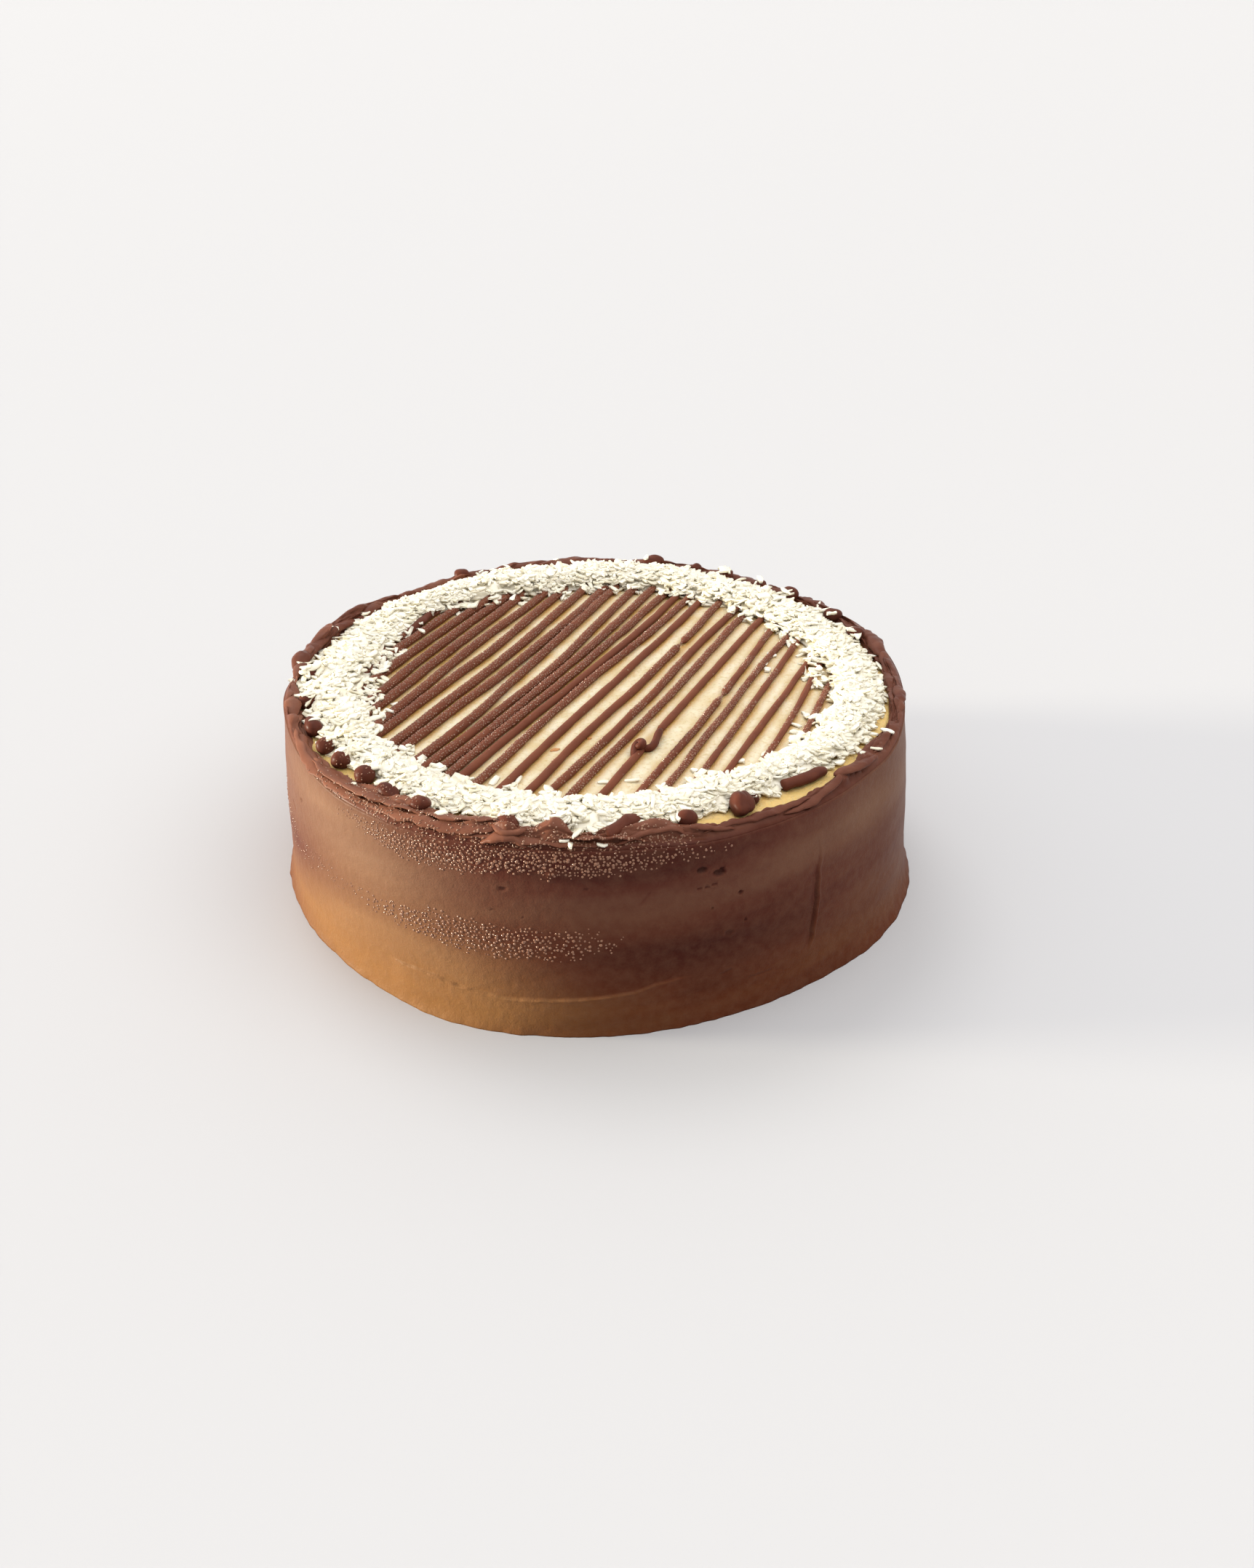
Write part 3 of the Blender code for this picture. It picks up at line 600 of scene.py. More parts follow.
# (number of the stripe, its radius in mm)
STRIPE_RADII = ((0, 1.9), (8, 1.8), (12, 1.6), (16, 1.55), (20, 1.3), (25, 1.2), (26, 1.9))
STRIPE_RISE = 0.62
STRIPE_SQUASH = 0.84
STRIPE_TONE = 0.62
STATIONS = np.array([-85, -50, 0, 50, 85]) * MM
STRIPES = np.array([
    (-82, -83, -84.3, -85.5, -87), (-74, -75.8, -77.3, -78, -79.5), (-65, -67.5, -71.2, -72.3, -74),
    (-60, -61.5, -64.5, -67.2, -70), (-51.5, -54, -58.2, -59, -61), (-48, -49, -49.3, -52.7, -55.5),
    (-39, -39.7, -41, -44.5, -47.5), (-34, -34.2, -34, -36.5, -40), (-24.3, -24.5, -28.5, -32.5, -35.5),
    (-19, -18.5, -18.8, -24.3, -27.5), (-13.5, -13.8, -14.5, -16.7, -20), (-9, -9.5, -9.5, -11.3, -13),
    (-4.2, -5, -4.7, -4.7, -7.3), (3, 0.3, -0.9, -0.1, -1.8), (12.3, 10, 8.3, 6.5, 4.5),
    (22.2, 18.8, 18.3, 16, 12.3), (28.5, 27.8, 26.3, 22.2, 21.5), (36, 34.5, 32.5, 29, 26.8),
    (46, 43, 40, 37, 34.8), (56.5, 54.5, 51.8, 45.8, 42), (64, 61.3, 57, 52.7, 51),
    (72, 69.2, 64.7, 59.5, 54.5), (79, 77, 73, 68.8, 66), (89, 87, 82, 73.7, 70), (96, 94, 89.5, 81, 76),
    (103, 101, 96.5, 88.5, 84), (-86, -88, -90, -92, -93),
]) * MM
# Numbers of stripes with a gap or a tear, and where it starts and ends in mm along them
BREAKS = {15: (42.2, 43.6), 18: (-42, -27.5), 19: (8.4, 8.6)}
TORN = (15, 19)
# Stripes left smooth by the dew, from and to in mm, and those where it is thin
SMOOTH_STRIPES = {12: (-110, 110), 14: (-110, 110), 15: (-110, 10), 18: (-110, 110), 22: (-110, 110)}
THINLY_WET = (16, 19, 21, 23)
KNOT = (18, -43)
STRIPE_SIDES = 14
STRIPE_STEP = 0.9 * MM


def full_radius(number):
    """The lines on the left were piped thicker than those on the right."""
    return float(np.interp(number, *zip(*STRIPE_RADII))) * MM


def stripe_offset(number, along):
    """A stripe's distance from the middle line, read between its stations with soft corners."""
    spread = np.linspace(-14, 14, 7) * MM
    return np.mean([np.interp(along + step, STATIONS, STRIPES[number]) for step in spread], axis=0)


def stripe_path(number, along):
    """Points on a stripe's axis: its offset, a slow waver sideways, and its height on the disc."""
    along = np.atleast_1d(along)
    offset = stripe_offset(number, along)
    seeds = np.stack([along, np.full_like(along, number * 0.1)], axis=-1)
    offset = offset + 0.3 * MM * noise(seeds, 0.022, 5) + 0.08 * MM * noise(seeds, 0.007, 6)
    cosine, sine = math.cos(STRIPE_DIRECTION), math.sin(STRIPE_DIRECTION)
    height = CREAM_HEIGHT + STRIPE_RISE * full_radius(number) + 0.1 * MM * noise(seeds, 0.009, 8)
    return np.stack([offset * sine + along * cosine, -offset * cosine + along * sine, height], axis=-1)


def stripe_runs(number):
    """The stretches of a stripe in metres along it, cut where the line tore."""
    along = np.linspace(-110, 110, 881) * MM
    place = stripe_path(number, along)
    azimuth = np.arctan2(place[:, 1], place[:, 0])
    under = around(azimuth, COCONUT_INNER) + 7 * MM
    kept = along[np.hypot(place[:, 0], place[:, 1]) < under]
    ends = [kept[0], kept[-1]]
    if number in BREAKS:
        ends[1:1] = [edge * MM for edge in BREAKS[number]]
    return list(zip(ends[::2], ends[1::2]))


def tube(path, radius, sides, squash=1.0, tilt=0.0):
    """Rings carried along a path: each square to it, flattened, tilted, with its own radius or radii."""
    forward = unit(np.gradient(path, axis=0))
    side = unit(np.cross(forward, (0.0, 0.0, 1.0)))
    upward = np.cross(side, forward)
    cosine, sine = math.cos(tilt), math.sin(tilt)
    side, upward = cosine * side + sine * upward, cosine * upward - sine * side
    turn = whole_turn(sides)[None, :, None]
    ring = np.cos(turn) * side[:, None] + squash * np.sin(turn) * upward[:, None]
    each = radius if radius.ndim > 1 else radius[:, None]
    return path[:, None] + each[..., None] * ring, grid_faces(len(path), sides, wrap_columns=True)


def stripe_radius(number, along, start, end):
    """The pull's radius: two noises on it, a round end where it stops and a long thin one where it tore."""
    seeds = np.stack([along, np.full_like(along, 3 + number * 0.1)], axis=-1)
    pull = full_radius(number) * (1 + 0.07 * noise(seeds, 0.016, 1) + 0.05 * noise(seeds, 0.005, 2))
    reach = np.minimum(along - start, end - along) / (2.2 * MM)
    rounded = pull * np.sqrt(np.clip(1 - (1 - np.clip(reach, 0, 1)) ** 2, 0.0004, 1))
    if number not in TORN:
        return rounded
    tear = np.abs(along - np.mean(BREAKS[number]) * MM) / (4.5 * MM)
    return np.minimum(rounded + 0.3 * MM * (tear < 0.5), pull * (0.2 + 0.8 * np.clip(tear, 0, 1) ** 1.3))


stripe_surfaces, stripe_lines = [], []
for number in range(len(STRIPES)):
    for start, end in stripe_runs(number):
        along = np.linspace(start, end, int((end - start) / STRIPE_STEP))
        path, radius = stripe_path(number, along), stripe_radius(number, along, start, end)
        points, faces = tube(path, radius, STRIPE_SIDES, STRIPE_SQUASH)
        points[..., 2] += 0.05 * MM * noise(points, 0.0022, 4)
        stripe_surfaces.append((points, faces))
        stripe_lines.append((number, along, path, radius))
stripe_points, stripe_faces = joined(stripe_surfaces)
stripes = add_piece("piped_stripes", stripe_points, stripe_faces, PIPED_CHOCOLATE,
                    tone=np.full(len(stripe_points), STRIPE_TONE))
piped_length = sum(along[-1] - along[0] for _, along, _, _ in stripe_lines)
print("stripes:", len(stripe_lines), "pulls,", round(piped_length, 2), "m")

# %% [markdown]
# Beside each stripe the cream is browner, mostly on its right, away from the light: a painted shadow of the
# stripe, over a little fat soaked in from the chocolate. A painted picture could show it, but a number at each
# point of the disc is simpler: it comes from the distance to the stripes, and the cream's finish turns it
# brown.

# %% The painted shadow and stain beside the stripes
SHADOW_AND_STAIN_WIDTH = 1.8 * MM
SHADOW_AND_STAIN_ON_LEFT = 0.65


def on_stripe_axes(points):
    """How far points lie along the stripes and across them, from the middle of the cake."""
    cosine, sine = math.cos(STRIPE_DIRECTION), math.sin(STRIPE_DIRECTION)
    return points[:, 0] * cosine + points[:, 1] * sine, points[:, 0] * sine - points[:, 1] * cosine


def shadow_and_stain(points):
    """The strongest of all stripes' painted shadows and stains: a bell on the distance past its edge, weaker
    on its left.
    """
    along, across = on_stripe_axes(points)
    total = np.zeros(len(points))
    for number in range(len(STRIPES)):
        past = across - stripe_offset(number, along)
        gap = np.clip(np.abs(past) - full_radius(number), 0, None) / SHADOW_AND_STAIN_WIDTH
        total = np.maximum(total, np.exp(-(gap**2)) * np.where(past > 0, 1, SHADOW_AND_STAIN_ON_LEFT))
    return total * np.clip(0.9 + 0.5 * noise(points, 0.009, 44), 0, 1)


# The disc's tone holds the stripes' painted shadow and stain
stripe_shadow_and_stain = shadow_and_stain(disc_points.reshape(-1, 3))
disc.data.attributes["tone"].data.foreach_set("value", stripe_shadow_and_stain.astype(np.float32))
print("stained share of the disc:", round(float(stripe_shadow_and_stain.mean()), 2))

# %% [markdown]
# ## The drops at the ends of the stripes
#
# At the end of each pull the chocolate was let go and left a round drop. A drop is a sphere, stretched to
# its own half sizes and made slightly uneven by noise. Some sit on the disc and some lean on the rim. Two
# long drops of the solids are really ends of piping, so here they are logs, which come later.

# %% Drops
# (degrees, mm out, half length and half width in mm, degrees turned)
DROPS = ((180, 112.2, 3.1, 3.1, 0), (-168, 111.8, 3.2, 3.2, 0), (-157, 112.4, 4.4, 3.2, 90),
         (-149, 112.6, 3.1, 3.1, 0), (-142.6, 112.5, 3.2, 3.2, 0), (-135, 112, 3.4, 3.4, 0),
         (-95.3, 110.9, 3.4, 3.4, 0), (-73.3, 112.4, 3.2, 3.2, 0), (-63.0, 110.4, 4.9, 3.5, -22),
         (-62.1, 110.7, 4.6, 3.2, -30), (-59.4, 108.4, 2.1, 2.1, 0))
RIM_DROPS = ((-128, 113.6, 4.6, 2.8, 80), (-120.4, 114, 3.6, 3.4, 90), (-103.8, 113.8, 4.2, 3.4, 60),
             (18.5, 112.6, 3.4, 3.4, 0), (29, 113.4, 3.5, 3.5, 0), (42.5, 112.6, 3.7, 3.7, 0),
             (51, 114, 2.5, 2.5, 0), (60, 113.6, 3.3, 3.3, 0), (68, 116.5, 2.5, 2.5, 0),
             (78, 115.8, 4.8, 3.4, 90), (122, 116.8, 3, 3, 0))
DROP_FLATNESS = 0.95
RIM_DROP_FLATNESS = 0.75
DROP_SUNK = 0.85
DROP_TONE = 0.1
BEADED_DROPS = (3, 4, 5, 6, 11, 12, 13)


def drop_surface(place, half, turn, seed, uneven=0.07, sides=28, bands=18):
    """A unit sphere times (1 + noise) and its half sizes, turned about the vertical and put in its place."""
    rise = np.linspace(-0.4999, 0.4999, bands) * np.pi
    sphere = round_cake(whole_turn(sides)[None], np.cos(rise)[:, None], np.sin(rise)[:, None])
    swollen = 1.1 * sphere * (1 + uneven * noise(sphere + seed, 0.9, seed))[..., None] * np.array(half)
    cosine, sine = math.cos(turn), math.sin(turn)
    turned = swollen @ np.array([[cosine, sine, 0], [-sine, cosine, 0], [0, 0, 1]])
    return turned + np.array(place), grid_faces(bands, sides, wrap_columns=True)[:, ::-1]


drop_surfaces, drop_sizes = [], []
for seed, (degrees, out, long, wide, turned) in enumerate(DROPS + RIM_DROPS):
    azimuth = math.radians(degrees)
    on_disc = seed < len(DROPS)
    half = (long * MM, wide * MM, (DROP_FLATNESS if on_disc else RIM_DROP_FLATNESS) * wide * MM)
    lift = DROP_SUNK * half[2] if on_disc else 2 * GAP + half[2]
    place = (out * MM * math.cos(azimuth), out * MM * math.sin(azimuth), CREAM_HEIGHT + lift)
    drop_sizes.append((np.array(place), half))
    uneven = 0.2 if long > wide or not on_disc else 0.07
    drop_surfaces.append(drop_surface(place, half, azimuth + math.radians(turned), seed, uneven))
drop_points, drop_faces = joined(drop_surfaces)
drops = add_piece("drops", drop_points, drop_faces, PIPED_CHOCOLATE,
                  tone=np.full(len(drop_points), DROP_TONE))

# %% [markdown]
# ## The wall of the coat
#
# The wall was spread with a tall spatula, so it is a smooth leaning surface with faint level bands. Where
# the spatula lifted off it left a seam, air left small pits, and the last pass stopped short of the board
# and left a ledge. The surface is worked out on a grid of azimuth and height: the radius from the tables,
# plus a relief that adds each of these marks. The grid is finest where the pits are.

# %% The wall's relief
# (degrees, mm up, half width, half height, depth), all in mm but the first
PITS = ((-72.3, 63, 1.6, 0.9, 1.1), (-69.3, 60.8, 2.1, 1.1, 1.3), (-68.9, 62.2, 0.9, 0.5, 0.8),
        (-72.7, 56.1, 0.9, 0.35, 0.5), (-71.5, 56.3, 1.1, 0.35, 0.6), (-70.2, 56.6, 0.9, 0.35, 0.5),
        (-65.6, 51, 0.9, 0.6, 0.9), (-70.5, 47.3, 0.45, 0.45, 0.5), (-64.6, 39.3, 0.55, 0.5, 0.5),
        (-67.6, 35.8, 1.4, 1, 0.3), (-103.7, 57.6, 1.5, 0.45, 0.6), (-105.5, 49, 0.7, 0.4, 0.3),
        (-120.7, 37.7, 0.7, 0.5, 0.3), (-100.6, 47.2, 0.6, 0.4, 0.3), (-90.7, 59.3, 0.8, 0.4, 0.35),
        (-96.1, 64.5, 1.6, 0.9, -0.6), (-150.3, 56.5, 0.8, 0.9, 0.4))
# Scratches as (degrees, mm) to (degrees, mm), then the depth in mm
SCRATCHES = ((-157.1, 48.6, -155.6, 46.6, 0.7), (-68.8, 18.5, -66.9, 19.5, 0.25),
             (-63.4, 13.5, -59.2, 13.6, 0.25), (-82.2, 52.2, -80.7, 56.6, 0.2))
# The ledge's line as (degrees, mm up), the seam's as (mm up, degrees)
LEDGE = ((-124, 16.3), (-121.6, 16.3), (-115.8, 16.4), (-111.8, 14.8), (-103.1, 13.7), (-93.8, 15),
         (-88, 16.1), (-82.8, 17.7), (-79.9, 19.9), (-76, 21))
LEDGE_STEP = 0.8 * MM
SEAM = ((15, -51), (21, -50.6), (40, -49.9), (58, -49.6))
MEAN_RADIUS = 122 * MM


def pit_relief(azimuth, height):
    """A flat-floored dent in a faint lip: its depth over one plus the eighth power of the distance."""
    total = np.zeros_like(azimuth)
    for degrees, up, half_width, half_height, depth in PITS:
        across = (azimuth - math.radians(degrees)) * MEAN_RADIUS / (half_width * MM)
        ragged = 1 + 0.35 * noise(np.stack([across, height / MM, across * 0 + degrees], axis=-1), 0.9, 2)
        distance = (across**2 + ((height - up * MM) / (half_height * MM)) ** 2) * ragged
        total += MM * (0.16 * np.exp(-((np.sqrt(distance) - 1.5) ** 2) / 0.12) - depth / (1 + distance**4))
    return total


def scratch_relief(azimuth, height):
    """A scratch is a narrow dent round a straight line on the wall."""
    total = np.zeros_like(azimuth)
    for first, low, last, high, depth in SCRATCHES:
        run = np.array([math.radians(last - first) * MEAN_RADIUS, (high - low) * MM])
        across = (azimuth - math.radians(first)) * MEAN_RADIUS
        share = np.clip((across * run[0] + (height - low * MM) * run[1]) / (run @ run), 0, 1)
        distance = np.hypot(across - share * run[0], height - low * MM - share * run[1])
        total -= depth * MM * np.exp(-((distance / (0.45 * MM)) ** 2))
    return total


def seam_relief(azimuth, height):
    """The lift-off seam: a shallow trough on the left of a line, and a thin raised edge on its right."""
    line = np.radians(np.interp(height / MM, *zip(*SEAM)))
    across = (azimuth - line) * MEAN_RADIUS / MM + 0.7 * noise(round_cake(azimuth, 0.02, height), 0.004, 9)
    there = soft_step((height / MM - 14) / 7) * soft_step((62 - height / MM) / 24)
    trough = np.exp(-(((across + 0.4) / 0.55) ** 2)) + 0.35 * np.exp(-(((across + 1.8) / 1.5) ** 2))
    edge = np.exp(-(((across - 0.9) / 0.5) ** 2))
    return there * MM * (0.5 * edge - 0.75 * trough)


def ledge_line(azimuth):
    """How high the ledge's line lies in mm, and how much of the ledge is there, from 0 to 1."""
    turned = np.degrees(azimuth)
    there = soft_step((turned + 126) / 5) * soft_step((-73 - turned) / 6)
    return np.interp(turned, *zip(*LEDGE)), there


def ledge_relief(azimuth, height):
    """Below the ledge line the coat stands proud by the step, with a fine crumbling edge."""
    level, there = ledge_line(azimuth)
    place = round_cake(azimuth, MEAN_RADIUS, height)
    level = level + 0.35 * noise(place, 0.003, 12)
    below = soft_step((level - height / MM) / 0.5 + 0.5)
    edge = np.exp(-(((height / MM - level + 0.3) / 0.45) ** 2)) * (0.3 + 0.7 * noise(place, 0.0016, 13))
    return there * (LEDGE_STEP * below * soft_step(height / (9 * MM)) + 0.4 * MM * edge)


def ledge_tone(azimuth, height):
    """The film under the ledge line is thinner and paler, and a painted highlight makes its edge the palest.
    """
    level, there = ledge_line(azimuth)
    above = height / MM - level
    return there * (0.2 * soft_step(0.5 - above) + 0.3 * np.exp(-(((above + 0.2) / 0.4) ** 2)))


def wall_relief(azimuth, height):
    """Level bands, hand-made waviness, and every mark, in metres outwards."""
    drift = height + 5 * MM * np.sin(2 * azimuth + 0.8) + 2 * MM * np.sin(5 * azimuth)
    bands = noise(round_cake(azimuth, MEAN_RADIUS / 5, drift), 0.0055, 1)
    place = round_cake(azimuth, MEAN_RADIUS, height)
    waves = 0.16 * MM * bands + 0.1 * MM * layered(place, 0.011, 3, 2) + 0.02 * MM * noise(place, 0.0016, 5)
    foot = np.exp(-height / (2.5 * MM)) * (0.45 * MM * layered(place, 0.006, 3, 20) + 0.1 * MM)
    marks = pit_relief(azimuth, height) + scratch_relief(azimuth, height) + seam_relief(azimuth, height)
    return waves + foot + marks + ledge_relief(azimuth, height)


# (degrees, mm up, half width in degrees, half height in mm, how much paler)
# The paler bands from -148 to -122 degrees are partly the spatula's thin drag and partly painted warm light
# from the left; the low one at -148 degrees is painted reflection from below alone
DRAGGED_BANDS = ((-142, 66, 24, 10, 0.32), (-130, 49, 20, 13, 0.38), (-122, 15, 26, 20, 0.62),
                 (-163, 50, 16, 14, 0.1), (-148, 3, 20, 9, 0.32), (-158, 30, 14, 7, -0.1),
                 (-88, 70, 21, 6, -0.32), (-88, 50, 26, 7, 0.08), (-82, 36, 16, 6, -0.1),
                 (-78, 22, 26, 14, -0.12), (-62, 46, 12, 8, -0.08), (-37, 60, 12, 13, 0.26),
                 (-55, 58, 9, 9, 0.13), (-18, 56, 12, 20, 0.26), (-38, 30, 10, 16, 0.06),
                 (-20, 14, 12, 12, 0.1), (40, 45, 30, 9, 0.22), (100, 58, 35, 7, 0.2),
                 (110, 25, 30, 8, -0.15), (165, 40, 25, 12, 0.2))
PLAIN_TONE = 0.28


def dragged_tone(azimuth, height):
    """How far a spatula dragged the coat thin and pale, plus painted warm light on the left: soft level bands,
    each a bell in both directions.
    """
    total = np.full(azimuth.shape, PLAIN_TONE)
    slope = height + 3 * MM * np.sin(3 * azimuth)
    for degrees, up, wide, tall, paler in DRAGGED_BANDS:
        turn = (np.degrees(azimuth) - degrees + 180) % 360 - 180
        total += 1.5 * paler * np.exp(-((turn / wide) ** 2) - ((slope / MM - up) / tall) ** 2)
    # Dents make the tone darker, painted shade, and raised edges a little paler, painted highlight
    dents = pit_relief(azimuth, height) + scratch_relief(azimuth, height) + 0.5 * seam_relief(azimuth, height)
    return np.clip(total, 0.02, 1.2) + 0.45 * np.clip(dents / MM, -1, 0.3) + 0.5 * ledge_tone(azimuth, height)


print("marks on the wall:", len(PITS), "pits,", len(SCRATCHES), "scratches and", len(DRAGGED_BANDS), "bands")

# %% [markdown]
# The wall's columns are spaced by a density: thick on the far side, fine in front and finest at the pits.
# The wall ends a little below the crest, inside the rim that is laid on it, and its own top and inner side
# close it to a ring.

# %% The wall
WALL_COLUMNS = 780
WALL_ROWS = 124
# (share of the rows, share of the height)
ROW_HEIGHTS = ((0, 0), (0.07, 0.06), (0.15, 0.16), (0.36, 0.3), (0.93, 0.9), (1, 1))
COLUMN_DENSITY = ((-180, 1.3), (-165, 1.8), (-90, 2), (-79, 2.6), (-75, 7), (-63, 7), (-59, 2.6), (-54, 4.5),
                  (-46, 4.5), (-40, 2), (-5, 1.4), (10, 0.7), (160, 0.7))
RIM_START = 1.1 * MM
WALL_SHOULDER = 71 * MM


def spaced_azimuths(count, density):
    """Azimuths whose spacing is the inverse of a density, from the running total of that density."""
    fine = np.linspace(-np.pi, np.pi, 7201)
    weight = around(fine, density) / MM
    total = np.concatenate([[0], np.cumsum((weight[1:] + weight[:-1]) / 2)])
    return np.interp(np.arange(count) / count, total / total[-1], fine)


def wall_top(azimuth):
    """Where the wall ends under the rim: a little below the crest."""
    return around(azimuth, CREST_HEIGHT) - RIM_START


def make_wall():
    """Outer side by the relief, then a flat top and a plain inner side: a row is one azimuth's section."""
    turns = spaced_azimuths(WALL_COLUMNS, COLUMN_DENSITY)[:, None]
    share = np.interp(np.linspace(0, 1, WALL_ROWS), *zip(*ROW_HEIGHTS))[None]
    height = share * wall_top(turns)
    azimuth = turns + 0 * height
    radius = wall_radius(azimuth, np.minimum(height, WALL_TOP)) - np.clip(height - WALL_TOP, 0, 1) * 0.05
    outer = round_cake(azimuth, radius + wall_relief(azimuth, height), height)
    top = wall_top(turns[:, 0])
    inner_height = np.stack([top - 0.6 * MM, WALL_SHOULDER + 0 * top, 0 * top], axis=-1)
    inner = round_cake(turns, CREAM_RADIUS + GAP, inner_height)
    points = np.concatenate([outer, inner], axis=1)
    arc = azimuth * MEAN_RADIUS
    outer_spread = np.stack([arc, height + 0.06 * arc * np.cos(azimuth), 0 * arc], axis=-1)
    spread = np.concatenate([outer_spread, inner], axis=1)
    faces = grid_faces(points.shape[0], points.shape[1], wrap_rows=True, wrap_columns=True)
    tone = np.concatenate([dragged_tone(azimuth, height), 0.25 + 0 * inner_height], axis=1)
    return points, faces, spread, tone


wall_points, wall_faces, wall_spread, wall_tone = make_wall()
wall = add_piece("coat_wall", wall_points, wall_faces, WALL_CHOCOLATE, spread=wall_spread, tone=wall_tone)

# %% [markdown]
# ## The rim of the coat
#
# The rim is what the spatula pushed up over the wall and then drew in over the disc. Its section follows the
# solid: a crest, a fold and a thin lip. Real folds lie over each other and wander, so the height gets a
# sawtooth whose phase is bent by noise: each tooth rises slowly and drops steeply, like one lap of cream on
# the next. Where a tooth is high it also leans inwards, which gives the overhang.

# %% The rim's section
CREST_INSET = 1.4 * MM
LIP_THICKNESS = 1 * MM
CREST_WAVE = 0.5 * MM
FOLD_WAVE = 0.9 * MM
LIP_WAVE = 0.6 * MM
RAGGED_TURNS = ((11, 0.4, 0.8), (19, 2.9, 1), (31, 1.7, 0.7))


def ragged(azimuth, phase):
    """Uneven waves round the cake, about -1 to 1: three sines with their own turns, start and share."""
    return sum(share * np.sin(turns * azimuth + start + phase) for turns, start, share in RAGGED_TURNS) / 1.8


def lip_radius(azimuth):
    """Where the rim ends inwards."""
    return np.minimum(around(azimuth, LIP_RADIUS) + LIP_WAVE * ragged(azimuth, 4), CREAM_RADIUS - GAP)


def cream_cover(radius):
    """The height of a skin one gap above the disc's flat top and its rounded edge."""
    past = np.clip(radius - (CREAM_RADIUS - CREAM_EDGE), 0, CREAM_EDGE + GAP)
    return CREAM_HEIGHT - CREAM_EDGE + np.sqrt((CREAM_EDGE + GAP) ** 2 - past**2)


def rim_controls(azimuth):
    """The section's corners at each azimuth: from inside the wall over crest and fold to under the lip."""
    top, edge = around(azimuth, TOP_RADIUS), wall_top(azimuth)
    crest = around(azimuth, CREST_HEIGHT) + CREST_WAVE * ragged(azimuth, 0)
    lip = lip_radius(azimuth)
    under = cream_cover(lip)
    fold = around(azimuth, FOLD_HEIGHT) + FOLD_WAVE * ragged(azimuth, 2)
    fold = np.maximum(fold, under + 1.2 * LIP_THICKNESS)
    ridge = top - CREST_INSET
    across = ridge - lip
    corners = ((top - 1.4 * MM, edge - 2.2 * MM), (top + 0.05 * MM, edge - 0.4 * MM), (ridge, crest),
               (ridge - 0.3 * across, 0.4 * crest + 0.6 * fold), (ridge - 0.62 * across, fold),
               (lip + LIP_THICKNESS / 2, under + LIP_THICKNESS), (lip, under - GAP),
               (lip + 1.2 * MM, under - 1.6 * MM))
    return np.stack([np.stack(corner, axis=-1) for corner in corners], axis=1)


print("rim's lip in front:", round(float(lip_radius(-math.pi / 2)) / MM, 1), "mm from the middle")

# %% The rim's folds
RIM_COLUMNS = 1500
RIM_ROWS = 62
RIM_DENSITY = ((-180, 1.8), (-165, 2.2), (-20, 2.2), (0, 1.4), (20, 0.9), (150, 0.9), (165, 1.6))
CORNER_ROWS = (0, 3, 8, 18, 34, 50, 57, 61)  # the row of each corner of the section
# (degrees, mm out, half length, half width, height) in mm but the first
LUMPS = ((-103.4, 117.8, 5.5, 3.2, 3.2), (-96, 116.4, 7, 3.6, 3.4), (-79.5, 116.2, 10, 3.2, 3),
         (-52.1, 120.2, 1.7, 1.1, -1.8), (-109.5, 117.5, 4, 2.2, 1.6), (152.2, 116.1, 4, 3, 3),
         (-162.9, 117.5, 3.5, 3, -1.6), (-160, 119.5, 5, 1.8, 1.8), (-42, 118.0, 3.2, 3, 2.2),
         (-87.5, 116.8, 3.5, 2.4, 1.4), (-124, 118.4, 6, 2.4, 1.2), (162, 117.5, 6, 3, 2),
         (95, 117, 6, 2.5, 1.6), (110, 117, 5, 2.5, 1.8), (75, 117, 5, 2.5, 1.4), (20, 116.5, 6, 2.5, 1.2),
         (5, 117, 5, 2.2, 1.2), (152, 120.6, 15, 4.2, 2.8), (163, 118.5, 10, 4, 1.8), (172, 118, 8, 3.4, 1.2),
         (141, 118, 9, 4, 1.4), (122, 117.5, 7, 3, 1.8), (35, 118, 8, 3.5, 1.6), (48, 118, 6, 3, 1.4),
         (-33.5, 119.2, 5, 2.4, 2.2), (-28, 117.8, 3.4, 2.2, 1.8), (-21, 118.4, 5.5, 2.2, 1.8),
         (-12, 117.6, 6, 2.4, 1.6))
# The rim's own tone, then how much paler its left and front left are painted: painted light from the left
PALE_FOLD, LIT_MORE = 0.46, 0.44


def stretched(azimuth, share, length, across):
    """A place for noise that is long round the cake and short across the rim, without a seam."""
    ring = round_cake(azimuth, 0.118 / length, 0 * azimuth)
    ring[..., 2] = share * across
    return ring


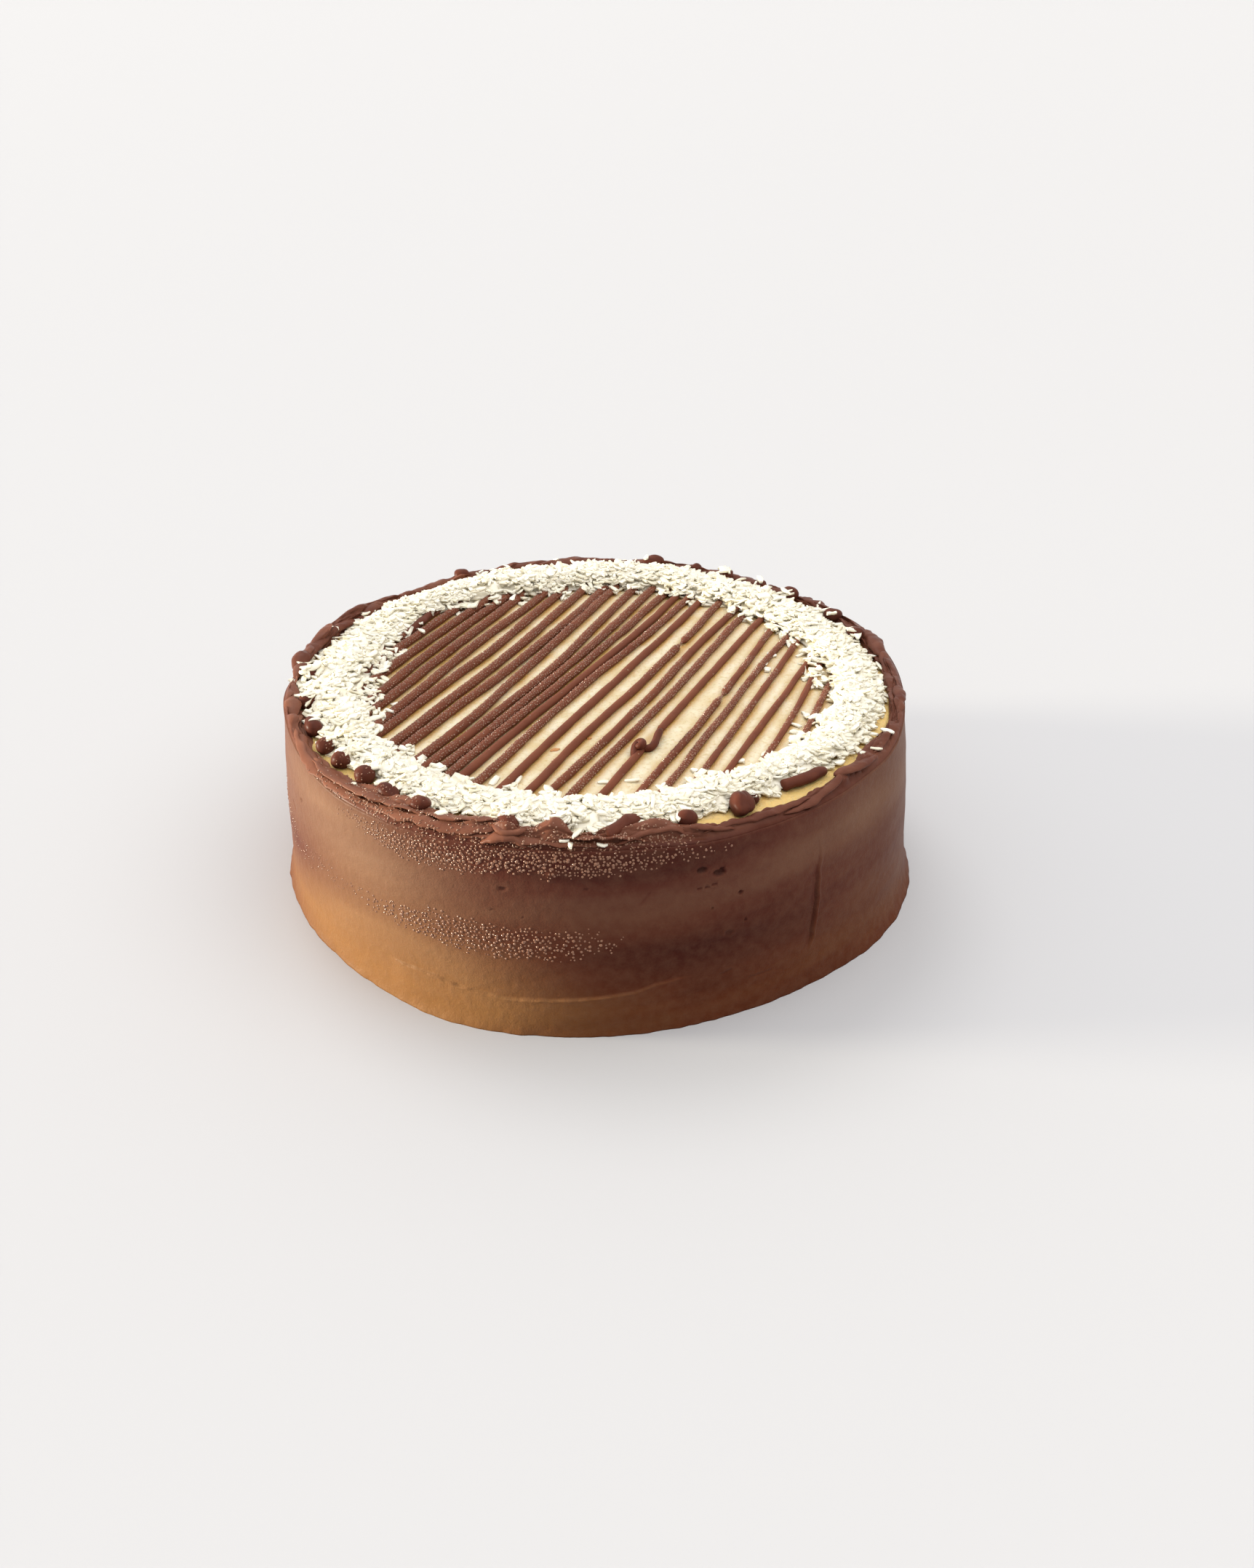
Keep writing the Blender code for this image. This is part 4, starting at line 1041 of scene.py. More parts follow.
def fold_relief(azimuth, share):
    """A warped sawtooth across the rim, a finer one on it, drawn streaks, lumps and sharp creases."""
    warp = 0.7 * noise(stretched(azimuth, share, 0.026, 1.2), 1, 31)
    warp += 0.14 * noise(stretched(azimuth, share, 0.009, 2.4), 1, 32)
    phase = 1.7 * share + 1.5 * warp
    tooth = phase - np.floor(phase)
    lap = soft_step(tooth / 0.7) * (1 - soft_step((tooth - 0.72) / 0.28))
    strength = 1.4 * MM * np.clip(0.7 + 0.7 * noise(stretched(azimuth, share, 0.016, 1), 1, 33), 0.1, 1.4)
    phase = 4 * share + 2.6 * warp + 0.5 * noise(stretched(azimuth, share, 0.005, 4), 1, 34)
    tooth = phase - np.floor(phase)
    small_lap = soft_step(tooth / 0.6) * (1 - soft_step((tooth - 0.6) / 0.4))
    streaks = noise(stretched(azimuth, share, 0.009, 14), 1, 35)
    lumps = np.clip(noise(stretched(azimuth, share, 0.01, 1.6), 1, 36), 0, 1) ** 2
    creases = np.abs(noise(stretched(azimuth, share + 0.4 * warp, 0.0065, 4.5), 1, 37)) ** 0.6
    creases += 0.6 * np.abs(noise(stretched(azimuth, share + 0.4 * warp, 0.003, 9), 1, 38)) ** 0.7
    return (strength * (lap - 0.4) + 0.3 * MM * (small_lap - 0.4) + 0.05 * MM * streaks + 1.8 * MM * lumps
            + 0.95 * MM * (creases - 0.8))


def lump_relief(azimuth, radius):
    """Each lump is a smooth mound: its height times the square of one less the squared distance."""
    total = np.zeros_like(azimuth)
    for degrees, out, half_length, half_width, height in LUMPS:
        across = (azimuth - math.radians(degrees)) * radius / (half_length * MM)
        distance = across**2 + ((radius - out * MM) / (half_width * MM)) ** 2
        total += height * MM * np.clip(1 - distance, 0, 1) ** 1.5
    return total


def lit(azimuth):
    """One where the rim gets its painted light from the left, at the left and front left, and nought far from
    it.
    """
    return np.exp(-(((np.degrees(azimuth) + 140) / 42) ** 2))


def make_rim():
    """Sections read between their corners and rounded, then moved along their normals by the folds."""
    turns = spaced_azimuths(RIM_COLUMNS, RIM_DENSITY)
    corners = rim_controls(turns)
    rows, starts = np.arange(RIM_ROWS), np.array(CORNER_ROWS)
    before = np.clip(np.searchsorted(starts, rows, side="right") - 1, 0, len(starts) - 2)
    share = ((rows - starts[before]) / (starts[before + 1] - starts[before]))[None, :, None]
    section = corners[:, before] * (1 - share) + corners[:, before + 1] * share
    for _ in range(8):
        section[:, 1:-1] = (section[:, :-2] + 2 * section[:, 1:-1] + section[:, 2:]) / 4
    forward = np.gradient(section, axis=1)
    normal = unit(np.stack([forward[..., 1], -forward[..., 0]], axis=-1))
    wall_row, lip_row = starts[1], starts[-2]
    across = np.clip((rows - wall_row) / (lip_row - wall_row), 0, 1)[None] + 0 * turns[:, None]
    azimuth = turns[:, None] + 0 * across
    folded = (soft_step((rows - 6) / 8) * (1 - 0.75 * soft_step((rows - 46) / 8)) * (rows < 60))[None]
    lumpy = (soft_step((rows - 5) / 6) * (rows < 55))[None]
    relief = folded * fold_relief(azimuth, across) + lumpy * lump_relief(azimuth, section[..., 0])
    at_crest = np.exp(-(((rows - 6) / 3.5) ** 2))[None]
    crumble = 0.16 * MM * noise(stretched(azimuth, across, 0.0022, 6), 1, 40) * at_crest
    moved = section + normal * (relief + crumble)[..., None]
    moved[..., 0] -= 0.45 * np.clip(relief, 0, 1)
    flush = ((1 - soft_step((rows - 5) / 8)) * (rows > 0))[None]
    moved[..., 0] += flush * (wall_relief(azimuth, np.minimum(moved[..., 1], WALL_TOP)) + 0.06 * MM)
    points = round_cake(azimuth, moved[..., 0], moved[..., 1])
    faces = grid_faces(RIM_COLUMNS, RIM_ROWS, wrap_rows=True, wrap_columns=True)
    own_tone = PALE_FOLD + LIT_MORE * lit(azimuth)
    tone = flush * dragged_tone(azimuth, moved[..., 1]) + (1 - flush) * own_tone
    return points, faces, azimuth, tone


rim_points, rim_faces, rim_azimuths, rim_tone = make_rim()
rim_spread = np.stack([rim_azimuths * MEAN_RADIUS, np.hypot(rim_points[..., 0], rim_points[..., 1]),
                       rim_points[..., 2]], axis=-1)
rim = add_piece("coat_rim", rim_points, rim_faces, RIM_CHOCOLATE, spread=rim_spread, tone=rim_tone)
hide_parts("chocolate_coat")

# %% [markdown]
# ## Curls and smears on the rim
#
# Where the spatula turned, the cream rolled up in short soft ropes and smears. Each is a tube along a short
# path on the rim, flattened, thick in its middle and thin at its ends. The ones in front follow their own
# places; the rest are sown round the cake by a seeded draw.

# %% Curls
# Each path as (degrees, mm out, mm above the rim), then its half width in mm
CURLS = (
    (((-107.5, 121.0, -0.2), (-105.5, 119.8, 0.8), (-103, 119.2, 1.3), (-100.8, 119.8, 0.8),
      (-99.6, 119.9, -0.3)), 1.6),
    (((-106, 116.2, 0.2), (-104, 118.5, 1.2), (-101.5, 118.6, 1.4), (-100.3, 116.6, 0.8)), 1.5),
    (((-86, 119.2, 0.1), (-82, 117.6, 1.1), (-78, 116.6, 1.7), (-75.6, 117, 1.2), (-74.6, 118.6, 0.3)), 1.2),
    (((-74.8, 117, 1.2), (-73, 117.2, 0.9), (-70.5, 118.6, 0.4), (-66, 119.6, 0.1)), 1.1),
    (((-72, 119.4, 0), (-68, 118, 0.5), (-64, 118.6, 0.5), (-61, 117.9, 0.6), (-57, 118.2, 0.5),
      (-53.5, 117.4, 0.7), (-50, 118.2, 0.4)), 1.2),
    (((-57, 119.6, 0.1), (-52, 119.4, 0.4), (-47, 118.6, 0.8), (-43.5, 118, 1.1), (-41.6, 116.2, 1.1)), 1.4),
    (((-43, 115.2, 0.8), (-41, 117.0, 1.9), (-38.4, 118.2, 2.0), (-35, 118.8, 1.9),
      (-31.5, 119.8, 1.0)), 1.8),
    (((-31, 118, 0.3), (-26, 117.4, 0.6), (-20, 118.4, 0.2)), 1.2),
    (((-170, 117.6, 0.3), (-165.5, 115.6, 1.1), (-161.5, 116.2, 1.3), (-159, 118.8, 0.6)), 1.4),
    (((-176, 115.6, -0.2), (-166, 114.6, 0), (-158, 114.8, 0), (-151, 116.4, -0.2)), 1.8),
    (((-158, 117.2, 0.2), (-153, 118.6, 0.9), (-148, 118.2, 0.4), (-143, 119.2, 0)), 1.3),
)
SOWN_CURLS = 26
# Thin laps of cream at the front left, each path as above, then its half width and its tilt in degrees
LAPS = (
    (((-160, 118.6, 0.1), (-151, 120.4, 0.5), (-142, 121.4, 0.6), (-134, 121.4, 0.5),
      (-126, 120.6, 0.2)), 1.3, -24),
    (((-152, 117.6, 0.1), (-142, 119.2, 0.6), (-132, 119.2, 0.8), (-123, 118.2, 0.6),
      (-116, 116.6, 0.1)), 1.9, 16),
    (((-140, 116.6, 0), (-131, 116.4, 0.7), (-124, 115.8, 0.9), (-117, 114.8, 0.3)), 1.7, -20),
    (((-128, 121.2, 0.1), (-120, 120.6, 0.8), (-112, 119.4, 0.9), (-105, 117.8, 0.4)), 1.7, -26),
    (((-122, 117.8, 0.3), (-115, 116.6, 0.9), (-109, 115.2, 0.9), (-103, 114.4, 0.2)), 1.6, 18),
    (((-114, 121.0, 0.0), (-107, 119.4, 0.6), (-100, 119.0, 0.7), (-93, 119.4, 0.4),
      (-86, 118.4, 0)), 1.3, -18),
    (((-97, 116.4, 0.2), (-92, 118.2, 0.7), (-86, 117.4, 0.8), (-80, 118.8, 0.2)), 1.4, 20),
)


def rim_height(azimuth, radius):
    """The height of the rim's plain section over a place, read between the crest, the fold and the lip."""
    corners = rim_controls(azimuth)[:, 2:7]
    height = corners[:, -1, 1].copy()
    for k in range(4):
        (outer, high), (inner, low) = corners[:, k].T, corners[:, k + 1].T
        share = (outer - radius) / (outer - inner)
        height = np.where((share >= 0) & (share <= 1), high * (1 - share) + low * share, height)
    return np.where(radius > corners[:, 0, 0], corners[:, 0, 1] - (radius - corners[:, 0, 0]), height)


def smooth_path(corners, count):
    """A path through corners: read evenly between them, then rounded by averaging neighbours."""
    corners = np.array(corners, float)
    steps = np.linspace(0, len(corners) - 1, count)
    path = np.stack([np.interp(steps, np.arange(len(corners)), column) for column in corners.T], axis=-1)
    for _ in range(max(2, (count // len(corners)) ** 2 // 2)):
        path[1:-1] = (path[:-2] + 2 * path[1:-1] + path[2:]) / 4
    return path


def curl(corners, half_width, seed, squash=0.5, tilt=0.0, count=44, sides=14):
    """A flattened tube on the rim: its radius is a half sine, so it tapers, and noise frays both edges."""
    path = smooth_path(corners, count)
    azimuth, radius = np.radians(path[:, 0]), path[:, 1] * MM
    height = rim_height(azimuth, radius) + path[:, 2] * MM
    line = round_cake(azimuth, radius, height)
    share = np.linspace(0, 1, count)
    swell = (np.sin(np.pi * share) ** 0.6 * 0.9 + 0.1) * np.clip(np.minimum(share, 1 - share) * 30, 0.05, 1)
    swell *= 1 + 0.2 * noise(line + seed, 0.009, seed)
    turn = whole_turn(sides)
    one_edge, other_edge = [noise(line + shift, 0.004, seed)[:, None] for shift in (seed, -seed)]
    frayed = np.where(np.cos(turn) > 0, one_edge, other_edge)
    radius = 1.5 * half_width * MM * swell[:, None] * (1 + 0.35 * frayed * np.abs(np.cos(turn)))
    points, faces = tube(line, radius, sides, squash, math.radians(tilt))
    points += 0.36 * MM * (noise(points + seed, 0.0035, seed) + 0.5 * noise(points, 0.0016, seed))[..., None]
    return points, faces


def sown_curls():
    """Short paths along the rim behind and beside the listed ones, each drifting in or out a little."""
    paths = []
    for degrees in np.linspace(-16, 184, SOWN_CURLS) + rng.uniform(-2, 2, SOWN_CURLS):
        lip = float(around(math.radians(degrees), LIP_RADIUS)) / MM
        top = float(around(math.radians(degrees), TOP_RADIUS)) / MM - 2
        length, start, end = rng.uniform(7, 15), rng.uniform(lip + 0.8, top), rng.uniform(lip + 0.8, top)
        lift = rng.uniform(-0.2, 0.8)
        paths.append((((degrees, start, -0.4), (degrees + 0.35 * length, (start + end) / 2, lift),
                       (degrees + 0.7 * length, end, lift * 0.8), (degrees + length, end, -0.4)),
                      rng.uniform(1.1, 2.4)))
    return paths


lap_surfaces = [curl(corners, half, 90 + seed, 0.26, tilt) for seed, (corners, half, tilt) in enumerate(LAPS)]
curl_surfaces = [curl(corners, half, seed) for seed, (corners, half) in enumerate((*CURLS, *sown_curls()))]
curl_points, curl_faces = joined(lap_surfaces + curl_surfaces)
# The laps and curls get the same painted light on the left
curl_tone = PALE_FOLD + LIT_MORE * lit(np.arctan2(curl_points[:, 1], curl_points[:, 0]))
curls = add_piece("rim_curls", curl_points, curl_faces, RIM_CHOCOLATE, tone=curl_tone)
print("laps and curls:", len(LAPS) + len(CURLS) + SOWN_CURLS)

# %% [markdown]
# ## The loose ends and the curled knot
#
# A few ends of piping lie bare beside the coconut, and on one stripe the line curled into a small pigtail.
# All of them are tubes again, the pigtail along the curled path in its table.

# %% Logs and knot
LOG_STEPS, KNOT_STEPS = 40, 110


def cake_point(degrees, out, height):
    """A point on the cake from its degrees, mm out and mm up."""
    return round_cake(math.radians(degrees), out * MM, height * MM)


def log_surface(corners, half_width, seed):
    """A piped end: a tube between places, full nearly to its ends, with a little noise."""
    path = smooth_path([cake_point(*corner) for corner in corners], LOG_STEPS)
    share = np.linspace(0, 1, LOG_STEPS)
    reach = np.clip(np.minimum(share, 1 - share) * 9, 0, 1)
    radius = half_width * MM * np.sqrt(np.clip(1 - (1 - reach) ** 2, 0.0025, 1))
    points, faces = tube(path, radius * (1 + 0.22 * noise(path + seed, 0.005, seed)), 18, 0.8)
    return points + 0.45 * MM * noise(points, 0.0035, seed)[..., None], faces


# Each path as (degrees, mm out, mm up), then its half width in mm
LOGS = ((((-52.4, 107.2, 76.6), (-49.5, 108.8, 77.2), (-46.2, 110.0, 77.2), (-41.2, 109.8, 76.6)), 2.4),
        (((-87.6, 117.2, 76.4), (-85.8, 114.6, 77.6), (-83.6, 111, 77.8), (-81.6, 106.4, 77.2)), 2.6),
        (((-54, 93.2, 76.2), (-51, 95.2, 77.2), (-47, 96.2, 77.6), (-43, 97.4, 76.6)), 1.7),
        (((154, 89, 76.2), (149, 88.6, 77.2), (144, 90.4, 77.4), (139, 93.6, 76.6)), 1.8))
# The curled line as (right, back, up) in mm from the place where the stripe broke
KNOT_LINE = ((-3.4, -6.6, 0), (-2.6, -3.6, 0.2), (-2.8, 0.2, 1.0), (-1.4, 2.4, 1.9), (0.3, 1.7, 2.6),
             (0.7, -0.7, 2.9), (-0.7, -1.8, 2.5), (-1.6, -0.2, 1.2), (0.4, 0.8, 0.5), (2.8, 0.2, 0.3),
             (4.6, 2.6, 0.5), (5.4, 6.2, 0.9), (6.2, 9.4, 1.5), (7.0, 11.8, 1.5), (7.4, 13.6, 0.6))
KNOT_RADIUS = 1.3 * MM
knot_middle = stripe_path(KNOT[0], KNOT[1] * MM)[0]
knot_path = smooth_path(np.array(KNOT_LINE) * MM, KNOT_STEPS)
knot_taper = np.interp(np.arange(KNOT_STEPS), (0, 8, KNOT_STEPS - 12, KNOT_STEPS - 1), (0.7, 1, 1.05, 0.5))
knot_swell = KNOT_RADIUS * (1 + 0.16 * noise(knot_path, 0.003, 3)) * knot_taper
knot = tube(knot_middle + knot_path, knot_swell, 14)
log_surfaces = [log_surface(corners, half, 50 + number) for number, (corners, half) in enumerate(LOGS)]
logs = add_piece("logs_and_knot", *joined(log_surfaces + [knot]), PIPED_CHOCOLATE)

# %% [markdown]
# ## A fleck of caramel
#
# Two specks of browned cream lie on the pale top. Each is a thin, ragged scale: a flattened drop with strong
# noise and its own orange brown.

# %% Fleck
# (right, back, half length and half width, all in mm, degrees turned)
FLECKS = ((-13.8, -56.7, 1.5, 0.8, 30), (-1.6, -48.0, 0.7, 0.5, 10))
FLECK_DARK, FLECK_PALE = (0.36, 0.13, 0.03), (0.62, 0.29, 0.08)
FLECK_HALF_HEIGHT = 0.35 * MM
fleck_finish, fleck_tree, fleck_shader, fleck_place = new_material("caramel fleck", 0.4)
fleck_cloud = noise_value(fleck_tree, scaled(fleck_tree, fleck_place, 0.0008))
join(fleck_tree, fleck_shader, Base_Color=mixed(fleck_tree, fleck_cloud, FLECK_DARK, FLECK_PALE))
fleck_surfaces = [drop_surface((x * MM, y * MM, CREAM_HEIGHT + 0.1 * MM),
                               (long * MM, wide * MM, FLECK_HALF_HEIGHT), math.radians(turned), 80, 0.5)
                  for x, y, long, wide, turned in FLECKS]
flecks = add_piece("caramel_flecks", *joined(fleck_surfaces), fleck_finish)

# %% [markdown]
# ## Dew
#
# A cake from the refrigerator collects dew, and here it has dried into small beads of a paler brown. They
# stand in two bands on the wall, over the front of the rim and on most of the stripes. A bead is a low dome
# of a few triangles, copied thousands of times with its own size, and turned to the surface under it. Each
# copy is part of one mesh, so that a single piece holds them all.

# %% Beads on the wall
WALL_BEAD, RIM_BEAD, STRIPE_BEAD, DROP_BEAD = 0.43 * MM, 0.42 * MM, 0.4 * MM, 0.3 * MM


def dome(sides, levels):
    """A unit dome: rings whose radius is a cosine and whose height is a sine, closed at the top by a fan."""
    rise = np.linspace(-0.35, 1.2 if levels > 2 else 0.7, levels)
    rings = round_cake(whole_turn(sides)[None], np.cos(rise)[:, None], np.sin(rise)[:, None]).reshape(-1, 3)
    quads = grid_faces(levels, sides, wrap_columns=True)[:, ::-1]
    top = (levels - 1) * sides
    fan = np.stack([top + np.arange(sides), top + (np.arange(sides) + 1) % sides,
                    np.full(sides, top + sides)], axis=-1)
    triangles = np.concatenate([quads[:, :3], quads[:, [0, 2, 3]], fan])
    return np.concatenate([rings, [[0, 0, 1]]]), triangles


def grid_normals(points):
    """The direction square to a grid surface, from its steps along rows and columns."""
    return unit(np.cross(np.gradient(points, axis=0), np.gradient(points, axis=1)))


def lay_beads(places, normals, sizes, sides=8, levels=4):
    """Domes at places, sunk a little, each turned to its normal and flattened to three quarters."""
    shape, triangles = dome(sides, levels)
    turns = frames(normals, np.array([0.3, 0.2, 0.9]) + 0.01 * places)
    stretch = sizes[:, None] * np.array([1, 1, 0.75]) * rng.uniform(0.9, 1.1, (len(sizes), 3))
    return repeat(shape, triangles, places - 0.1 * sizes[:, None] * normals, turns, stretch)


# (degrees, lower edge, upper edge) in mm up the wall, then how thickly the beads stand there
UPPER_BAND = ((-136, 67.5, 70, 0.3), (-132, 66.5, 71.5, 0.7), (-126, 64.3, 72, 1), (-118.6, 61.2, 72.4, 1),
              (-108.5, 61.8, 72.6, 1), (-102.6, 63, 72.6, 1), (-93.5, 63.6, 72.6, 1), (-85.6, 65, 72.2, 1),
              (-80, 67, 72.2, 0.8), (-72.9, 68.6, 72, 0.5), (-66, 70.5, 72, 0.2))
LOWER_BAND = ((-168, 34, 52, 0.25), (-160, 27, 45, 0.35), (-154.9, 28, 38, 0.45), (-143.5, 31.5, 41, 0.35),
              (-134, 33.4, 40.8, 0.35), (-126.7, 33.5, 40.5, 0.6), (-117, 31.4, 43.6, 1),
              (-108.7, 30.6, 44.4, 1), (-102.8, 30.2, 42, 1), (-96, 30.5, 42.3, 0.9), (-89, 33.8, 42, 0.6),
              (-84.5, 36.5, 41, 0.35))
BEAD_STEP = 1.27 * MM


def band_places(band, step, seed):
    """Azimuths and heights on a hexagonal grid, shaken, and kept where the band is thick enough."""
    degrees, low, high, thick = np.array(band, float).T
    arc = np.arange(degrees[0], degrees[-1], math.degrees(step / MEAN_RADIUS))
    rows = np.arange(low.min(), high.max(), 0.87 * step / MM)
    azimuth, height = np.meshgrid(arc, rows)
    azimuth = azimuth + 0.5 * (np.arange(len(rows))[:, None] % 2) * math.degrees(step / MEAN_RADIUS)
    azimuth = azimuth + rng.uniform(-0.26, 0.26, azimuth.shape)
    height = height + rng.uniform(-0.45, 0.45, height.shape)
    inside = np.minimum(height - np.interp(azimuth, degrees, low), np.interp(azimuth, degrees, high) - height)
    patch = noise(np.stack([azimuth / 4, height / 4, azimuth * 0 + seed], axis=-1), 1, seed)
    chance = np.interp(azimuth, degrees, thick) * np.clip(0.55 + inside / 2.5 + 0.5 * patch, 0, 1)
    kept = rng.random(azimuth.shape) < chance
    return np.radians(azimuth[kept]), height[kept] * MM, inside[kept]


def wall_beads():
    """Each bead's place on the relief, with its normal from two small steps over the surface."""
    azimuth, height, depth = [np.concatenate(parts) for parts in zip(
        band_places(UPPER_BAND, BEAD_STEP, 3), band_places(LOWER_BAND, 1.2 * BEAD_STEP, 5))]
    step = 0.6 * MM
    place, beside, above = [round_cake(a, wall_radius(a, h) + wall_relief(a, h), h) for a, h in (
        (azimuth, height), (azimuth + step / MEAN_RADIUS, height), (azimuth, height + step))]
    normals = unit(np.cross(beside - place, above - place))
    size = WALL_BEAD * (1 + 0.35 * np.clip(depth / 4, 0, 1)) * rng.uniform(0.55, 1.15, len(place))
    size *= 0.62 + 0.38 * soft_step((np.degrees(azimuth) + 142) / 22)
    return place, normals, size


places, normals, sizes = wall_beads()
dew_wall = add_piece("dew_on_wall", *lay_beads(places, normals, sizes), DEW)
print("beads on the wall:", len(places))

# %% Beads on the rim
RIM_BEAD_COUNT = 1500


def rim_beads(count):
    """Beads at random points of the rim's and the laps' grids, in front and only where they face up."""
    surfaces = [rim_points[:, 3:50]] + [surface[0][3:-3] for surface in lap_surfaces]
    points = np.concatenate([surface.reshape(-1, 3) for surface in surfaces])
    normals = np.concatenate([grid_normals(surface).reshape(-1, 3) for surface in surfaces])
    degrees = np.degrees(np.arctan2(points[:, 1], points[:, 0]))
    front = soft_step((degrees + 150) / 14) * soft_step((-70 - degrees) / 8)
    on_edge = np.hypot(points[:, 0], points[:, 1]) > around(np.radians(degrees), TOP_RADIUS) - 3 * MM
    on_laps = np.arange(len(points)) >= surfaces[0].shape[0] * surfaces[0].shape[1]
    wanted = front * (1 + 2 * on_edge + 5 * on_laps) * (normals[:, 2] > 0)
    chosen = rng.choice(len(points), count, replace=False, p=wanted / wanted.sum())
    return points[chosen], normals[chosen], RIM_BEAD * rng.uniform(0.5, 1.2, count)


places, normals, sizes = rim_beads(RIM_BEAD_COUNT)
dew_rim = add_piece("dew_on_rim", *lay_beads(places, normals, sizes), DEW)

# %% Beads on the stripes
STRIPE_BEAD_STEP = 1.4 * MM
STRIPE_BEAD_ROWS = 5
STRAY_BEADS = 0.03


def stripe_beads(lines):
    """Beads on a shaken grid along each pull and round its upper half, left off where it is smooth."""
    places, normals, sizes = [], [], []
    for number, along, path, radius in lines:
        steps = np.arange(0, len(along) - 2, STRIPE_BEAD_STEP / STRIPE_STEP)
        where, row = [part.ravel() for part in np.meshgrid(steps, np.arange(STRIPE_BEAD_ROWS))]
        count = len(where)
        where = np.clip(where + 0.5 * (row % 2) + rng.uniform(-0.4, 0.4, count), 0, len(along) - 1.5)
        turn = (row + 0.5 + rng.uniform(-0.35, 0.35, count)) * np.pi / STRIPE_BEAD_ROWS
        first, share = where.astype(int), (where % 1)[:, None]
        line = path[first] * (1 - share) + path[first + 1] * share
        ahead = unit(path[first + 1] - path[first])
        side = unit(np.cross(ahead, (0.0, 0.0, 1.0)))
        normal = np.cos(turn)[:, None] * side + STRIPE_SQUASH * np.sin(turn)[:, None] * np.cross(side, ahead)
        dry_from, dry_to = SMOOTH_STRIPES.get(number, (0, 0))
        wet = (along[first] < dry_from * MM) | (along[first] > dry_to * MM)
        dry_below = 0.1 if number in THINLY_WET else -0.7
        wet &= noise(line, 0.012, 17) + rng.uniform(-0.2, 0.2, count) > dry_below
        wet |= rng.random(count) < STRAY_BEADS
        places.append((line + normal * radius[first][:, None])[wet])
        normals.append(normal[wet])
        sizes.append((STRIPE_BEAD * rng.uniform(0.6, 1.2, count))[wet])
    return np.concatenate(places), np.concatenate(normals), np.concatenate(sizes)


half_way = len(stripe_lines) // 2
for side_name, lines in (("left", stripe_lines[:half_way]), ("right", stripe_lines[half_way:])):
    places, normals, sizes = stripe_beads(lines)
    dew_stripes = add_piece(f"dew_on_{side_name}_stripes", *lay_beads(places, normals, sizes, 5, 2), DEW)
    print("beads on the", side_name, "stripes:", len(places))

# %% Beads on the drops
DROP_BEAD_COUNT = 170


def drop_beads(count):
    """Beads on the upper side of the drops, picked from their own points, and square to them."""
    grids = [drop_surfaces[index][0] for index in BEADED_DROPS]
    points = np.concatenate([grid[9:-2].reshape(-1, 3) for grid in grids])
    outwards = np.concatenate([(grid - grid.mean(axis=(0, 1)))[9:-2].reshape(-1, 3) for grid in grids])
    chosen = rng.choice(len(points), count, replace=False)
    return points[chosen], unit(outwards[chosen]), DROP_BEAD * rng.uniform(0.5, 1.2, count)


places, normals, sizes = drop_beads(DROP_BEAD_COUNT)
dew_drops = add_piece("dew_on_drops", *lay_beads(places, normals, sizes, 6, 3), DEW)

# %% [markdown]
# ## The wreath of coconut
#
# The wreath is a heap of loose flakes. Filling it with flakes alone would take too many, so a lumpy ring
# with the same finish lies under them, and the flakes are sown over it, thickest on its top. A flake is a
# short bent strip with a box section: four places along it, four corners at each. Its length, width, bend,
# taper and tone are its own draw, worked out for all flakes at once.

# %% The core of the wreath
# (share of the way out, share of the full height), then how full the core is under it
COCONUT_SHAPE = ((0.0, 0), (0.06, 0.3), (0.24, 0.82), (0.5, 1), (0.76, 0.86), (0.94, 0.36), (1, 0.1))
CORE_FULLNESS = ((0, 0.2), (0.15, 0.5), (0.35, 0.92), (0.6, 1), (1, 0.9))


def wreath_edges(azimuth):
    """The inner and the outer edge of the wreath; the outer one stays clear of the rim's lip."""
    outer = np.minimum(around(azimuth, COCONUT_OUTER), lip_radius(azimuth) - 3 * GAP)
    return around(azimuth, COCONUT_INNER), outer


def wreath_rise(azimuth, share):
    """The heap's height over the disc at a share of the way out: an arch times slow noise."""
    arch = np.interp(share, *zip(*COCONUT_SHAPE))
    heap = 1 + 0.22 * noise(round_cake(azimuth, 0.102, share * 0.012), 0.012, 61)
    return around(azimuth, COCONUT_HEIGHT) * arch * heap


def make_core(rounds=720, rows=18):
    """The arch carried round the cake, roughened like packed flakes, its underside flat on the disc."""
    azimuth = whole_turn(rounds)[:, None]
    share = np.linspace(0.06, 0.9, rows)[None] + 0 * azimuth
    inner, outer = wreath_edges(azimuth)
    radius = outer + share * (inner - outer)
    height = wreath_rise(azimuth, 1 - share) * np.interp(1 - share, *zip(*CORE_FULLNESS))
    points = round_cake(azimuth, radius, CREAM_HEIGHT + height - 0.1 * MM)
    rough = noise(points, 0.0016, 62) + noise(points, 0.0008, 63)
    points[..., 2] += 0.3 * MM * rough * np.clip(height / MM, 0, 1)
    return points, grid_faces(rounds, rows, wrap_rows=True, wrap_columns=True)


core_points, core_faces = make_core()
# The core takes the palest coconut tone, which lightens the gaps between the flakes: painted light
core = add_piece("coconut_core", core_points, core_faces, COCONUT, tone=np.ones(core_points.shape[:2]))
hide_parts("coconut")

# %% The flakes
FLAKES = 4700
FLAKE_LENGTH = (2.4, 6.6)
FLAKE_WIDTH = (1.2, 3.4)
FLAKE_THICKNESS = (0.45, 0.9)
WREATH_LEAN, LOOSE_LEAN = 0.2, 0.15
